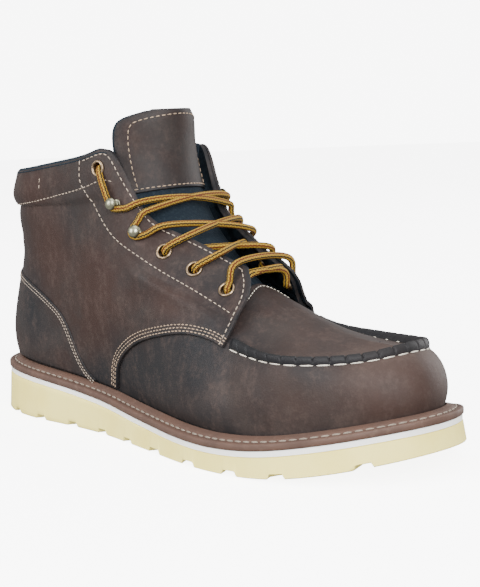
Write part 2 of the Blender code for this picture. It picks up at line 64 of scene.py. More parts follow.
SECTIONS = (
    Section("heel_back", -156.0, 0, 0, 2.0, 22, -144.0, 0, 85.0, 0, -142.0, 0, 140.0, 3.5, 0),
    Section("heel_corner", -143.7, 27.7, 26.7, 2.0, 22, -133.0, 19.0, 85.0, 0, -131.0, 20.5, 140.5, 3.5, 0),
    Section("heel_side", -110.0, 39.1, 40.9, 2.0, 22, -108.0, 30.0, 84.0, 0, -106.0, 32.0, 142.0, 3.0, 0),
    Section("heel_front", -77.0, 39.6, 39.5, 2.0, 21, -77.0, 33.0, 82.0, 0, -75.0, 35.0, 145.5, 2.5, 0),
    Section("waist", -43.5, 40.2, 36.8, 2.5, 20, -46.0, 35.0, 80.0, 0, -46.0, 35.5, 150.0, 2.0, 0),
    Section("shank", -15.0, 44.5, 40.0, 3.0, 19, -18.0, 36.5, 78.0, 0, -27.0, 32.5, 149.5, 0, 0),
    Section("instep", 13.0, 49.8, 44.9, 3.0, 18, 10.0, 37.5, 74.0, 0, -12.0, 27.5, 121.0, 0, 0),
    Section("girth", 35.0, 54.2, 49.8, 3.0, 18, 34.0, 38.0, 68.0, 0, 12.0, 20.5, 107.0, 0, 0.4),
    Section("ball", 57.0, 57.0, 53.5, 2.5, 18, 58.0, 37.5, 60.5, 0, 38.0, 13.5, 95.5, 0, 0.9),
    Section("joint", 79.0, 56.5, 52.8, 2.0, 18, 79.0, 40.0, 56.5, -1.0, 52.0, 13.5, 91.0, 0, 1.0),
    Section("toe_side", 102.0, 53.0, 49.8, 2.0, 17, 100.0, 41.0, 55.0, -3.5, 51.0, 8.0, 84.0, 0, 1.0),
    Section("toe_curve", 125.0, 41.0, 48.0, 1.8, 15, 117.5, 32.5, 54.5, -4.0, 46.0, 4.5, 82.5, 0, 0.7),
    Section("toe_corner", 146.0, 20.0, 33.0, 1.5, 13, 129.0, 20.0, 55.5, -4.5, 43.5, 2.2, 82.0, 0, 0.3),
    Section("toe_tip", 156.0, -5.0, 5.0, 1.2, 13, 135.0, 0, 57.0, -4.5, 43.0, 0, 82.0, 0, 0),
)
HALF = len(SECTIONS) - 1
STATIONS = 2 * HALF
RING = [(row, -1) for row in SECTIONS] + [(row, 1) for row in SECTIONS[-2:0:-1]]
Ride = namedtuple("Ride", "x z")
RIDE = (
    Ride(-156, 26.0),
    Ride(-95, 22.8),
    Ride(-43, 18.0),
    Ride(-3, 14.0),
    Ride(38, 11.6),
    Ride(79, 12.2),
    Ride(120, 18.0),
    Ride(156, 25.0),
)
# Soft troughs (below 0) and ridges of the worn-in leather, drawn from one place to another
Crease = namedtuple("Crease", "u v to_u to_v width depth")
CREASES = (
    Crease(0.2, 2.75, 1.7, 2.95, 6.0, -0.7),
    Crease(0.4, 2.35, 1.5, 2.45, 7.0, -0.5),
    Crease(2.2, 2.9, 3.6, 2.5, 9.0, -0.5),
    Crease(0.05, 3.45, 2.85, 3.56, 3.2, -1.0),
    Crease(2.85, 3.56, 4.1, 3.64, 3.2, -0.8),
    Crease(5.4, 2.45, 7.7, 2.35, 5.0, 0.9),
    Crease(5.4, 2.75, 7.9, 2.65, 4.0, -0.5),
    Crease(5.3, 1.95, 7.2, 2.05, 6.0, -0.6),
    Crease(8.4, 1.45, 8.9, 0.5, 7.0, -0.6),
    Crease(9.0, 1.5, 9.7, 0.7, 8.0, 0.4),
    Crease(9.6, 2.9, 11.2, 2.75, 9.0, -0.6),
)
CREASE_U = 26.0
CREASE_V = 28.0


def blend(t, start, start_slope, end, end_slope):
    """Smooth step from start to end, with its slope at both."""
    return (
        (1 + 2 * t) * (1 - t) ** 2 * start
        + t * (1 - t) ** 2 * start_slope
        + t * t * (3 - 2 * t) * end
        - t * t * (1 - t) * end_slope
    )


def spline_weights(places, count, cyclic):
    """Share of each of count control values in a smooth curve read at places, in control numbers."""
    places = np.atleast_1d(np.asarray(places, float))
    system = np.zeros((count, count))
    rises = np.zeros((count, count))
    for i in range(count):
        before = i - 1 if cyclic else max(i - 1, 0)
        after = (i + 1) % count if cyclic else min(i + 1, count - 1)
        for neighbour, sign in ((before, -1), (after, 1)):
            if neighbour != i:
                system[i, neighbour] += 1
                system[i, i] += 2
                rises[i, neighbour] += 3 * sign
                rises[i, i] -= 3 * sign
    slopes = np.linalg.solve(system, rises)
    first = np.floor(places).astype(int)
    if not cyclic:
        first = np.clip(first, 0, count - 2)
    t = (places - first)[:, None]
    here = first % count
    there = (first + 1) % count
    unit = np.eye(count)
    return blend(t, unit[here], slopes[here], unit[there], slopes[there])


def curve_through(xs, values, x):
    """Smooth value at x of a curve through the values given at the rising places xs."""
    xs = np.asarray(xs, float)
    values = np.asarray(values, float)
    x = np.clip(np.asarray(x, float), xs[0], xs[-1])
    number = np.interp(x, xs, np.arange(len(xs)))
    low = np.clip(number.astype(int), 0, len(xs) - 2)
    slopes = np.gradient(values, xs)
    span = xs[low + 1] - xs[low]
    t = number - low
    return blend(t, values[low], span * slopes[low], values[low + 1], span * slopes[low + 1])


def unit_rows(vectors):
    """Vectors, one in a row, at length 1."""
    return vectors / np.linalg.norm(vectors, axis=1)[:, None]


def ride_height(x):
    """Height of the welt's underside at x."""
    return curve_through([row.x for row in RIDE], [row.z for row in RIDE], x)


SOLE_EDGE = np.array(
    [(row.x, CENTRE_LINE + (row.medial if side > 0 else -row.lateral)) for row, side in RING]
)
PADS = np.array([row.pad for row, side in RING])


def sole_edge(u, inset=0.0):
    """Plan points of the sole's edge at u round the boot, moved in by inset."""
    u = np.atleast_1d(np.asarray(u, float))
    here = spline_weights(u, STATIONS, True) @ SOLE_EDGE
    tangent = unit_rows(spline_weights(u + STEP, STATIONS, True) @ SOLE_EDGE - here)
    inward = np.stack([-tangent[:, 1], tangent[:, 0]], axis=1)
    return here + inward * np.reshape(inset, (-1, 1))


def last_rails():
    """Points of the five rails of the upper at every section round the boot."""
    rails = np.zeros((STATIONS, RAILS, 3))
    for i, (row, side) in enumerate(RING):
        feather = sole_edge(i, WELT_FLANGE)[0]
        wall = sole_edge(i, WELT_FLANGE - row.wall_out)[0]
        base = ride_height(feather[0]) + FEATHER_HEIGHT
        swing = CENTRE_LINE + (row.medial - row.lateral) / 2
        rails[i, FEATHER] = *feather, base
        rails[i, WALL] = *wall, base + row.wall_up
        tuck = row.tuck if side > 0 else 0
        seam_half = row.seam_half - tuck * MEDIAL_TUCK_IN
        rails[i, SEAM] = row.seam_x, swing + side * seam_half, row.seam_z - tuck * MEDIAL_TUCK_DOWN
        rails[i, RIM] = row.rim_x, CENTRE_LINE + side * row.rim_half, row.rim_z
        rails[i, CROWN] = (1 - CROWN_AT) * rails[i, SEAM] + CROWN_AT * rails[i, RIM]
        rails[i, CROWN, 2] += row.crown
    return rails


LAST_RAILS = last_rails()


def last_form(u, v):
    """Points of the bare last: u counts sections round the boot, v counts rails up its wall."""
    around = spline_weights(u, STATIONS, True)
    up = spline_weights(v, RAILS, False)
    return np.einsum("ij,jkc,ik->ic", around, LAST_RAILS, up)


def crease_lift(u, v):
    """How far the leather stands off the last in its creases, alike on both sides."""
    side = np.minimum(u % STATIONS, STATIONS - u % STATIONS)
    lift = np.zeros(len(u))
    for row in CREASES:
        run = np.array([(row.to_u - row.u) * CREASE_U, (row.to_v - row.v) * CREASE_V])
        away = np.column_stack([(side - row.u) * CREASE_U, (v - row.v) * CREASE_V])
        share = np.clip(away @ run / (run @ run), 0, 1)
        gap = np.linalg.norm(away - share[:, None] * run, axis=1)
        lift += row.depth * np.exp(-((gap / row.width) ** 2))
    return lift


def upper_frame(u, v):
    """Points, outward normals and upward directions of the upper's outer face."""
    u, v = (np.ravel(a).astype(float) for a in np.broadcast_arrays(u, v))
    around = last_form(u + STEP, v) - last_form(u - STEP, v)
    upward = unit_rows(last_form(u, np.minimum(v + STEP, RIM)) - last_form(u, np.maximum(v - STEP, 0)))
    normal = unit_rows(np.cross(around, upward))
    pad = np.clip(spline_weights(u, STATIONS, True) @ PADS, 0, None)
    height = np.clip((v - CUFF_SEAM) / (RIM - CUFF_SEAM), 0, 1)
    swell = pad * np.sin(pi * np.sqrt(height)) + crease_lift(u, v)
    return last_form(u, v) + normal * swell[:, None], normal, upward


def upper_point(u, v, lift=0.0):
    """Points standing lift off the upper's outer face."""
    point, normal, upward = upper_frame(u, v)
    return point + normal * np.reshape(lift, (-1, 1))


def side_u(u, side):
    """u on the lateral side, or its mirror on the medial side."""
    return u if side == "lateral" else STATIONS - u


def cloth_grid(columns, rows):
    """A flat grid, and the place of each of its vertices along and across it, from 0 to 1."""
    bm = bmesh.new()
    bmesh.ops.create_grid(bm, x_segments=columns, y_segments=rows, size=0.5)
    places = np.array([vert.co for vert in bm.verts]) + 0.5
    return bm, places[:, 0], places[:, 1]


def move_verts(verts, points):
    """Put vertices at points given in millimetres."""
    for vert, point in zip(verts, points):
        vert.co = Vector(point) * MM


def close_seams(bm):
    """Weld what meets and turn all faces outwards."""
    bmesh.ops.remove_doubles(bm, verts=bm.verts, dist=WELD * MM)
    bmesh.ops.recalc_face_normals(bm, faces=bm.faces)


# Soft patches of the oiled leather: oil blackens it, warmth reddens it, rubbed wear and painted sheen pale
# it
Patch = namedtuple("Patch", "u v radius oil warmth rub")
STAINS_AND_SHEEN = (
    Patch(0.6, 1.6, 26, 0.75, 0.0, 0.0),
    Patch(1.9, 1.35, 24, 0.55, 0.0, 0.0),
    Patch(1.4, 0.4, 22, 0.0, 0.5, 0.15),
    Patch(0.7, 2.6, 28, 0.55, 0.0, 0.1),
    Patch(3.9, 0.3, 16, 0.8, 0.0, 0.0),
    Patch(2.6, 2.6, 34, 0.0, 0.8, 0.0),
    Patch(4.2, 1.9, 36, 0.0, 0.8, 0.1),
    Patch(6.6, 2.4, 16, 0.0, 0.8, 0.3),
    Patch(5.4, 3.3, 26, 0.2, 0.4, 0.0),
    Patch(7.6, 3.3, 22, 0.6, 0.0, 0.0),
    Patch(6.8, 3.1, 14, 0.6, 0.2, 0.0),
    Patch(3.4, 3.3, 14, 0.4, 0.0, 0.0),
    Patch(2.2, 3.7, 26, 0.0, 0.7, 0.1),
    Patch(5.0, 0.9, 24, 0.75, 0.0, 0.1),
    Patch(6.2, 1.3, 24, 0.75, 0.0, 0.1),
    Patch(7.6, 1.6, 22, 0.9, 0.0, 0.0),
    Patch(6.9, 0.5, 24, 0.3, 0.35, 0.0),
    Patch(8.2, 0.3, 18, 0.6, 0.0, 0.1),
    Patch(9.0, 1.1, 26, 0.3, 0.0, 0.5),
    # The toe and plug patches below are pale from rubbed wear and from painted sheen where the light falls.
    Patch(10.4, 1.0, 26, 0.1, 0.3, 0.6),
    Patch(12.2, 0.9, 30, 0.0, 0.9, 0.6),
    Patch(10.6, 1.8, 12, 0.6, 0.3, 0.0),
    Patch(9.0, 2.3, 22, 0.5, 0.1, 0.0),
    Patch(11.5, 2.7, 32, 0.2, 0.0, 0.8),
    Patch(12.4, 2.25, 24, 0.0, 0.0, 1.3),
)


def mark_wear_and_painted_light(bm, reach, dent_shade=0.0):
    """Keep each vertex's nearness to the sheet's edge, its stains and painted sheen, and painted shade in
    dents.
    """
    rim = [vert for vert in bm.verts if vert.is_boundary]
    tree = kdtree.KDTree(len(rim))
    for i, vert in enumerate(rim):
        tree.insert(vert.co, i)
    tree.balance()
    layer = bm.verts.layers.float.new("edge")
    for vert in bm.verts:
        vert[layer] = np.exp(-tree.find(vert.co)[2] / (reach * MM))
    points = np.array([vert.co for vert in bm.verts]) / MM
    for kind in ("oil", "warmth", "rub"):
        share = np.zeros(len(points))
        for patch in STAINS_AND_SHEEN:
            for u in (patch.u, STATIONS - patch.u):
                gap = np.linalg.norm(points - upper_point(u, patch.v), axis=1)
                share = np.maximum(share, getattr(patch, kind) * np.exp(-((gap / patch.radius) ** 2)))
        # Painted shade in the dents is added to the oil stains.
        if kind == "oil":
            share = share + dent_shade
        layer = bm.verts.layers.float.new(kind)
        for vert, value in zip(bm.verts, share):
            vert[layer] = value


def give_wall(bm, thickness, inner_finish, rounding):
    """Thicken a sheet inwards, give its inner face another finish, and round its cut edges."""
    rim = [edge for edge in bm.edges if edge.is_boundary]
    inner = bmesh.ops.extrude_face_region(bm, geom=list(bm.faces))["geom"]
    bm.normal_update()
    for part in inner:
        if isinstance(part, bmesh.types.BMVert):
            part.co -= part.normal * thickness * MM
        elif isinstance(part, bmesh.types.BMFace):
            part.material_index = inner_finish
    bmesh.ops.recalc_face_normals(bm, faces=bm.faces)
    bmesh.ops.bevel(
        bm,
        geom=[edge for edge in rim if edge.is_valid],
        offset=rounding * MM,
        affect="EDGES",
        segments=2,
        profile=0.5,
        material=-1,
    )


def add_piece(name, bm, finishes, slot, *nodes):
    """Make a mesh a piece of the boot, standing for the nodes that it replaces."""
    mesh = bpy.data.meshes.new(name)
    bm.to_mesh(mesh)
    bm.free()
    mesh.shade_smooth()
    mesh.set_sharp_from_angle(angle=SHARP_ANGLE)
    for finish in finishes:
        mesh.materials.append(finish)
    piece = bpy.data.objects.new(name, mesh)
    bpy.context.scene.collection.objects.link(piece)
    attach(piece, "root")
    if nodes:
        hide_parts(*nodes)
    return piece


class Shade:
    """An output in a material's node tree; sums and products with it add Math nodes."""

    def __init__(self, tree, output):
        self.tree = tree
        self.output = output

    def feed(self, sockets, values):
        """Set or link sockets by name or number."""
        for name, value in values.items():
            if isinstance(value, Shade):
                self.tree.links.new(value.output, sockets[name])
            else:
                sockets[name].default_value = value

    def node(self, kind, settings, values, output=0):
        """Add a node with its settings and its sockets' values or links, and give one output."""
        new = self.tree.nodes.new(kind)
        for name, value in settings.items():
            setattr(new, name, value)
        self.feed(new.inputs, values)
        return Shade(self.tree, new.outputs[output])

    def math(self, operation, first, second=0.0):
        """One Math node on two values."""
        return self.node("ShaderNodeMath", {"operation": operation}, {0: first, 1: second})

    def __add__(self, other):
        return self.math("ADD", self, other)

    def __sub__(self, other):
        return self.math("SUBTRACT", self, other)

    def __rsub__(self, other):
        return self.math("SUBTRACT", other, self)

    def __mul__(self, other):
        return self.math("MULTIPLY", self, other)

    def __abs__(self):
        return self.math("ABSOLUTE", self)

    __radd__ = __add__


def start_finish(name):
    """A new material and the object coordinates in it."""
    finish = bpy.data.materials.new(name)
    finish.use_nodes = True
    tree = finish.node_tree
    place = Shade(tree, tree.nodes.new("ShaderNodeTexCoord").outputs["Object"])
    return finish, place


def set_looks(finish, colour, roughness, normal, specular=0.5, metallic=0.0):
    """Give a material its colour, roughness, relief and shine."""
    looks = {
        "Base Color": colour,
        "Roughness": roughness,
        "Normal": normal,
        "Specular IOR Level": specular,
        "Metallic": metallic,
    }
    normal.feed(finish.node_tree.nodes["Principled BSDF"].inputs, looks)
    return finish


def noise(place, scale, detail, roughness=0.5):
    """Soft random clouds from 0 to 1, scale of them in a metre."""
    values = {"Vector": place, "Scale": scale, "Detail": detail, "Roughness": roughness}
    return place.node("ShaderNodeTexNoise", {}, values)


def cells(place, scale, feature="F1"):
    """Distance from the middle of random cells, scale of them in a metre."""
    return place.node("ShaderNodeTexVoronoi", {"feature": feature}, {"Vector": place, "Scale": scale})


def ramp(value, low, high):
    """0 below low, 1 above high, and smooth between."""
    settings = {"interpolation_type": "SMOOTHSTEP"}
    return value.node("ShaderNodeMapRange", settings, {0: value, 1: low, 2: high})


def tint(share, low, high):
    """Colour low where share is 0 and high where it is 1."""
    return share.node("ShaderNodeMix", {"data_type": "RGBA"}, {0: share, 6: low, 7: high}, 2)


def bump(height, distance, strength):
    """Normal of a surface with fine relief of a real height in metres."""
    values = {"Height": height, "Distance": distance, "Strength": strength}
    return height.node("ShaderNodeBump", {}, values)


BROWN = (0.0225, 0.0128, 0.0107, 1)
GREY_BROWN = (0.0215, 0.0170, 0.0158, 1)
RED_BROWN = (0.0270, 0.0128, 0.0097, 1)
BLUE_BLACK = (0.0070, 0.0082, 0.0100, 1)
PALE_WEAR_AND_SHEEN = (0.070, 0.047, 0.039, 1)
LEATHER_SHINE = 0.18


def leather_finish(name, coolness):
    """Oiled leather: warm and grey clouds, dark oil and painted shade in folds, pale wear and painted
    sheen, fine pores.

    Its cut edges are darker, partly as painted shade. More coolness makes it darker, bluer and less pale.
    """
    finish, place = start_finish(name)
    wear_and_painted_light = {
        kind: place.node("ShaderNodeAttribute", {"attribute_name": kind}, {}, "Fac")
        for kind in ("edge", "oil", "warmth", "rub")
    }
    clouds = noise(place, 24, 8, 0.6)
    stains = noise(place, 42, 8, 0.62)
    streaked = place.node("ShaderNodeMapping", {}, {"Vector": place, "Scale": (120.0, 120.0, 60.0)})
    streaks = noise(streaked, 1, 8, 0.68)
    specks = noise(place, 420, 5, 0.7)
    body = tint(ramp(clouds, 0.4, 0.6), BROWN, GREY_BROWN)
    warmed = tint(ramp(wear_and_painted_light["warmth"] + stains * 1.2 - 0.6, 0.1, 0.8), body, RED_BROWN)
    # Oil stains darken it, and painted shade in the roll's puckers comes through the same layer.
    soaked_and_shaded = wear_and_painted_light["oil"] + stains * 1.2 + streaks * 0.4 + specks * 0.3
    # Darker towards each panel's edge: a dark cut edge, and painted shade along the seams.
    oil = ramp(soaked_and_shaded + wear_and_painted_light["edge"] * 0.6 + 0.35 * coolness, 0.95, 1.9) * 0.92
    oiled_and_shaded = tint(oil, warmed, BLUE_BLACK)
    scratched = ramp(streaks + specks * 0.7, 0.76, 1.15) * 0.42
    faded = ramp(clouds, 0.5, 0.75) * 0.1
    # Paler in rubbed wear, random scratches and fading, and in painted sheen on the toe and plug.
    wear_and_sheen = (wear_and_painted_light["rub"] * clouds + scratched + faded) * max(0.1, 1.1 - 0.4 * coolness)
    pores = cells(place, 1100)
    wrinkles = cells(place, 420, "SMOOTH_F1")
    height = pores * 0.6 + wrinkles * 0.5 + specks * 1.2
    roughness = 0.50 + streaks * 0.2 - oil * 0.04
    return set_looks(
        finish, tint(wear_and_sheen, oiled_and_shaded, PALE_WEAR_AND_SHEEN), roughness, bump(height, 0.00014, 0.5), LEATHER_SHINE
    )


LINING = (0.0075, 0.0125, 0.0185, 1)
LINING_PALE = (0.018, 0.026, 0.033, 1)
LINING_SHINE = 0.1


def lining_finish(name):
    """Dark fabric with a fine knit."""
    finish, place = start_finish(name)
    knit = cells(place, 900)
    flecks = ramp(noise(place, 700, 2), 0.5, 0.75)
    colour = tint(flecks * 0.7 + knit * 0.3, LINING, LINING_PALE)
    return set_looks(finish, colour, 0.85 + flecks * 0.1, bump(knit, 0.0003, 0.7), LINING_SHINE)


# Lace holders from the throat up: u and v of each on the flap
Holder = namedtuple("Holder", "name kind u v")
HOLDERS = (
    Holder("1", "eyelet", 8.0, 3.38),
    Holder("2", "eyelet", 7.2, 3.45),
    Holder("3", "eyelet", 6.5, 3.53),
    Holder("4", "hook", 5.68, 3.4),
    Holder("5", "hook", 5.0, 3.45),
    Holder("6", "eyelet", 4.42, 3.8),
)
SIDES = ("lateral", "medial")
EYELET_HOLE = 3.4


def punch_holes(bm, side):
    """Cut the eyelets' holes through a sheet of leather."""
    for holder in HOLDERS:
        if holder.kind == "hook":
            continue
        point, normal, upward = upper_frame(side_u(holder.u, side), holder.v)
        centre = Vector(point[0]) * MM
        axis = Vector(normal[0])
        cut = [face for face in bm.faces if (face.calc_center_median() - centre).length < EYELET_HOLE * MM]
        ring = {vert for face in cut for vert in face.verts}
        bmesh.ops.delete(bm, geom=cut, context="FACES")
        for vert in ring:
            if vert.is_valid:
                away = vert.co - centre
                flat = away - axis * away.dot(axis)
                vert.co += flat.normalized() * EYELET_HOLE * MM - flat


Edge = namedtuple("Edge", "u v")
FLAP_FRONT = (
    Edge(8.06, 1.84),
    Edge(8.4, 2.85),
    Edge(8.8, 3.4),
    Edge(9.0, 3.75),
    Edge(8.8, 4.0),
)
FLAP_LAP = 0.12
FLAP_FOOT = 1.92
MEDIAL_SET_BACK = 0.45
SET_BACK_FROM = 5.0
SET_BACK_SPAN = 3.0
PLUG_FROM = 7.4
PLUG_ROUNDING = 0.22
PLUG_HOLLOW = 1.4
HOLLOW_U = (8.6, 9.4, 12.0, HALF)
HOLLOW_SHARE = (0, 1, 1, 0)
UPPER_EDGE_DARK_REACH = 1.5
# Crown line of the plug, from the throat to the toe
Crown = namedtuple("Crown", "u x y z")
PLUG_CROWN = (
    Crown(7.4, 44.0, 0.0, 82.6),
    Crown(7.9, 45.5, 0.0, 82.0),
    Crown(8.4, 53.0, 0.0, 78.6),
    Crown(9.0, 65.0, 0.0, 73.4),
    Crown(10.0, 84.0, 0.5, 66.2),
    Crown(11.0, 101.0, 3.0, 61.0),
    Crown(12.0, 112.0, 5.5, 59.0),
    Crown(13.0, 117.0, 6.5, 58.4),
)


def smooth_edge(edge, count=160):
    """Points of a panel's edge as a smooth line through its corners."""
    return spline_weights(np.linspace(0, len(edge) - 1, count), len(edge), False) @ np.array(edge)


def quarter_u(u, side):
    """u of a place on a quarter: the front of the medial flap is set back."""
    if side == "lateral":
        return u
    return STATIONS - u + MEDIAL_SET_BACK * np.clip((u - SET_BACK_FROM) / SET_BACK_SPAN, 0, 1) ** 2


def plug_point(u, reach, lift=0.0):
    """Points of the plug: reach goes from its seam to its crown line."""
    side = np.minimum(u % STATIONS, STATIONS - u % STATIONS)
    rows = np.array(PLUG_CROWN)
    crown = np.column_stack([curve_through(rows[:, 0], rows[:, i], side) for i in (1, 2, 3)])
    seam = last_form(u, np.full(len(u), float(SEAM)))
    away = 1 - reach
    fall = np.sqrt(away**2 + PLUG_ROUNDING**2) - PLUG_ROUNDING
    fall = fall / (np.sqrt(1 + PLUG_ROUNDING**2) - PLUG_ROUNDING)
    points = seam + (crown - seam) * reach[:, None]
    hollow = PLUG_HOLLOW * np.sin(pi * reach) * np.interp(side, HOLLOW_U, HOLLOW_SHARE)
    points[:, 2] = crown[:, 2] + (seam[:, 2] - crown[:, 2]) * fall - hollow + lift
    return points


leather = leather_finish("oiled_leather", 0.2)
vamp_leather = leather_finish("vamp_leather", 0.65)
lining = lining_finish("lining_fabric")
front_line = smooth_edge(FLAP_FRONT)
wall, around, up = cloth_grid(STATIONS * 18, 40)
move_verts(wall.verts, upper_point(around * STATIONS, up * SEAM))
close_seams(wall)
mark_wear_and_painted_light(wall, UPPER_EDGE_DARK_REACH)
give_wall(wall, UPPER_WALL, inner_finish=1, rounding=0.3)
add_piece("upper_shell", wall, [vamp_leather, lining], "leather", "upper")

plug, along, reach = cloth_grid(360, 44)
move_verts(plug.verts, plug_point(PLUG_FROM + along * (STATIONS - 2 * PLUG_FROM), reach))
close_seams(plug)
mark_wear_and_painted_light(plug, UPPER_EDGE_DARK_REACH)
give_wall(plug, UPPER_WALL, inner_finish=1, rounding=0.4)
add_piece("upper_plug", plug, [vamp_leather, lining], "leather")

flaps, along, up = cloth_grid(320, 44)
v = FLAP_FOOT + up * (RIM - FLAP_FOOT)
reach = np.interp(v, front_line[:, 1], front_line[:, 0]) - FLAP_LAP
medial_end = quarter_u(reach, "medial") - STATIONS
move_verts(flaps.verts, upper_point(medial_end + along * (reach - medial_end), v))
mark_wear_and_painted_light(flaps, UPPER_EDGE_DARK_REACH)
for side in SIDES:
    punch_holes(flaps, side)
give_wall(flaps, UPPER_WALL, inner_finish=1, rounding=0.5)
add_piece("upper_flaps", flaps, [vamp_leather, lining], "leather")


# Moc seam
# The plug's edge and the wall's edge are turned up together into a roll round the toe, and a long
# white running stitch through both gathers the roll into puckers.
PLUG_SEAM = 8.0
MOC_START = 8.2
MOC_END = STATIONS - 7.72
MOC_ON_WALL = 0.12
MOC_ON_PLUG = 0.075
# Height of the roll round the toe, from the lateral to the medial throat
Rise = namedtuple("Rise", "u height")
MOC_RISE = (
    Rise(8.2, 2.7),
    Rise(12.0, 2.7),
    Rise(13.0, 3.4),
    Rise(14.0, 4.0),
    Rise(15.3, 4.5),
    Rise(16.5, 4.3),
    Rise(17.4, 3.4),
    Rise(18.3, 2.7),
)
MOC_PITCH = 7.5
MOC_STITCH = 6.4
MOC_THREAD = 0.72
ROLL_WALL = 0.6
PUCKER_WIDTH = 0.5
PUCKER_DEPTH = 1.2
PUCKER_SHARE = 0.8
PUCKER_LEAN = 0.3
END_TAPER = 60
END_HEIGHT = 0.2
# Stitch rows beside the roll: on the wall all round, and short stitches on the plug
MocRow = namedtuple("MocRow", "from_u turn lift length")
MOC_ROWS = (
    MocRow(MOC_START, -1.12, 0.25, MOC_STITCH),
    MocRow(9.6, 1.05, 0.0, 0.3 * MOC_STITCH),
)
Stitch = namedtuple("Stitch", "pitch length thread")
PLUG_STITCH = Stitch(2.2, 1.6, 0.5)
PLUG_ROW_HALF = 0.45
PLUG_ROW_FACING = (0.3, 0.0, 1.0)
ROW_LIFT = 0.1
THREAD = (0.33, 0.265, 0.205, 1)
THREAD_TAN = (0.31, 0.225, 0.155, 1)
THREAD_GREY = (0.21, 0.17, 0.135, 1)
WHITE_THREAD = (0.64, 0.59, 0.50, 1)


def thread_finish(name, colour):
    """Waxed thread with a fine twist and a little dirt."""
    finish, place = start_finish(name)
    twist = noise(place, 2600, 1)
    dirt = ramp(noise(place, 180, 3), 0.45, 0.75)
    soiled = tuple(0.6 * part for part in colour[:3]) + (1,)
    dirty = tint(dirt * 0.6, colour, soiled)
    return set_looks(finish, dirty, 0.6 + twist * 0.2, bump(twist, 0.0002, 0.6))


def arc_lengths(points):
    """Distance of each point of a line from its start."""
    steps = np.linalg.norm(np.diff(points, axis=0), axis=1)
    return np.concatenate([[0], np.cumsum(steps)])


def along_line(points, run, places):
    """Points of a line at distances from its start, where run holds those of its own points."""
    return np.column_stack([np.interp(places, run, column) for column in points.T])


def sew(bm, points, normals, stitch):
    """A row of stitches along a line, each a short bead of thread pulled tight at its ends."""
    run = arc_lengths(points)
    count = int(run[-1] / stitch.pitch)
    half = stitch.length / 2
    for middle in (np.arange(count) + 0.5) * run[-1] / count:
        start, end = (Vector(point) for point in along_line(points, run, [middle - half, middle + half]))
        place = (start + end) / 2
        along = (end - start).normalized()
        out = Vector(along_line(normals, run, [middle])[0])
        out = (out - along * out.dot(along)).normalized()
        turn = Matrix((out.cross(along), out, along)).transposed().to_4x4()
        size = Matrix.Diagonal((stitch.thread / 2, stitch.thread / 2, half, 1))
        bmesh.ops.create_uvsphere(
            bm,
            u_segments=6,
            v_segments=5,
            radius=MM,
            matrix=Matrix.Translation(place * MM) @ turn @ size,
        )


def sew_on_upper(bm, u, v, lift, stitch):
    """A row of stitches along a line in u and v, lying on leather of that lift."""
    point, normal, upward = upper_frame(u, v)
    sew(bm, point + normal * (lift + 0.1 * stitch.thread), normal, stitch)


def roll_base(u, turn):
    """Points under the moc roll, for turn from -1 on the wall to 1 on the plug, and its way outward."""
    point, normal, upward = upper_frame(u, SEAM + np.minimum(turn, 0) * MOC_ON_WALL)
    over = plug_point(u, np.maximum(turn, 0) * MOC_ON_PLUG)
    seam_normal = upper_frame(u, SEAM)[1]
    return np.where((turn > 0)[:, None], over, point), unit_rows(seam_normal + (0.0, 0.0, 1.0))


roll_leather = leather_finish("roll_leather", 2.6)
white_thread = thread_finish("white_thread", WHITE_THREAD)
seam_span = MOC_END - MOC_START
seam_u = np.linspace(MOC_START, MOC_END, 400)
seam_run = arc_lengths(upper_point(seam_u, SEAM))
pucker_count = int(seam_run[-1] / MOC_PITCH)
pucker_pitch = seam_run[-1] / pucker_count

roll, along, across = cloth_grid(pucker_count * 20, 16)
u = MOC_START + along * seam_span
turn = 2 * across - 1
run = np.interp(u, seam_u, seam_run)
from_pucker = np.abs((run / pucker_pitch + 0.5) % 1 - 0.5) * pucker_pitch
dent = PUCKER_DEPTH * np.exp(-((from_pucker / PUCKER_WIDTH) ** 2)) * (PUCKER_SHARE - PUCKER_LEAN * turn)
tuck = np.clip(np.minimum(along, 1 - along) * END_TAPER, END_HEIGHT, 1)
roll_height = np.interp(u, *np.array(MOC_RISE).T)
roll_lift = (roll_height - dent) * np.sqrt(np.clip(1 - turn**2, 0, 1)) * tuck
base, out = roll_base(u, turn)
move_verts(roll.verts, base + out * roll_lift[:, None])
# Painted shade: the roll's leather is darkened in its puckers, where the thread gathers it.
mark_wear_and_painted_light(roll, 0.5, dent_shade=dent / PUCKER_DEPTH)
give_wall(roll, ROLL_WALL, inner_finish=0, rounding=0.1)
add_piece("moc_roll", roll, [roll_leather], "leather", "moc_seam")

moc_stitches = bmesh.new()
for row in MOC_ROWS:
    row_u = seam_u[seam_u >= row.from_u]
    base, out = roll_base(row_u, np.full(len(row_u), row.turn))
    sew(moc_stitches, base + out * row.lift, out, Stitch(pucker_pitch, row.length, MOC_THREAD))
add_piece("moc_stitches", moc_stitches, [white_thread], "lace")

plug_stitches = bmesh.new()
across = np.linspace(-PLUG_ROW_HALF, PLUG_ROW_HALF, 80)
row_u = np.where(across < 0, PLUG_SEAM, STATIONS - PLUG_SEAM)
points = plug_point(row_u, 1 - np.abs(across), ROW_LIFT)
sew(plug_stitches, points, np.tile(PLUG_ROW_FACING, (len(across), 1)), PLUG_STITCH)
add_piece("plug_stitches", plug_stitches, [white_thread], "lace")


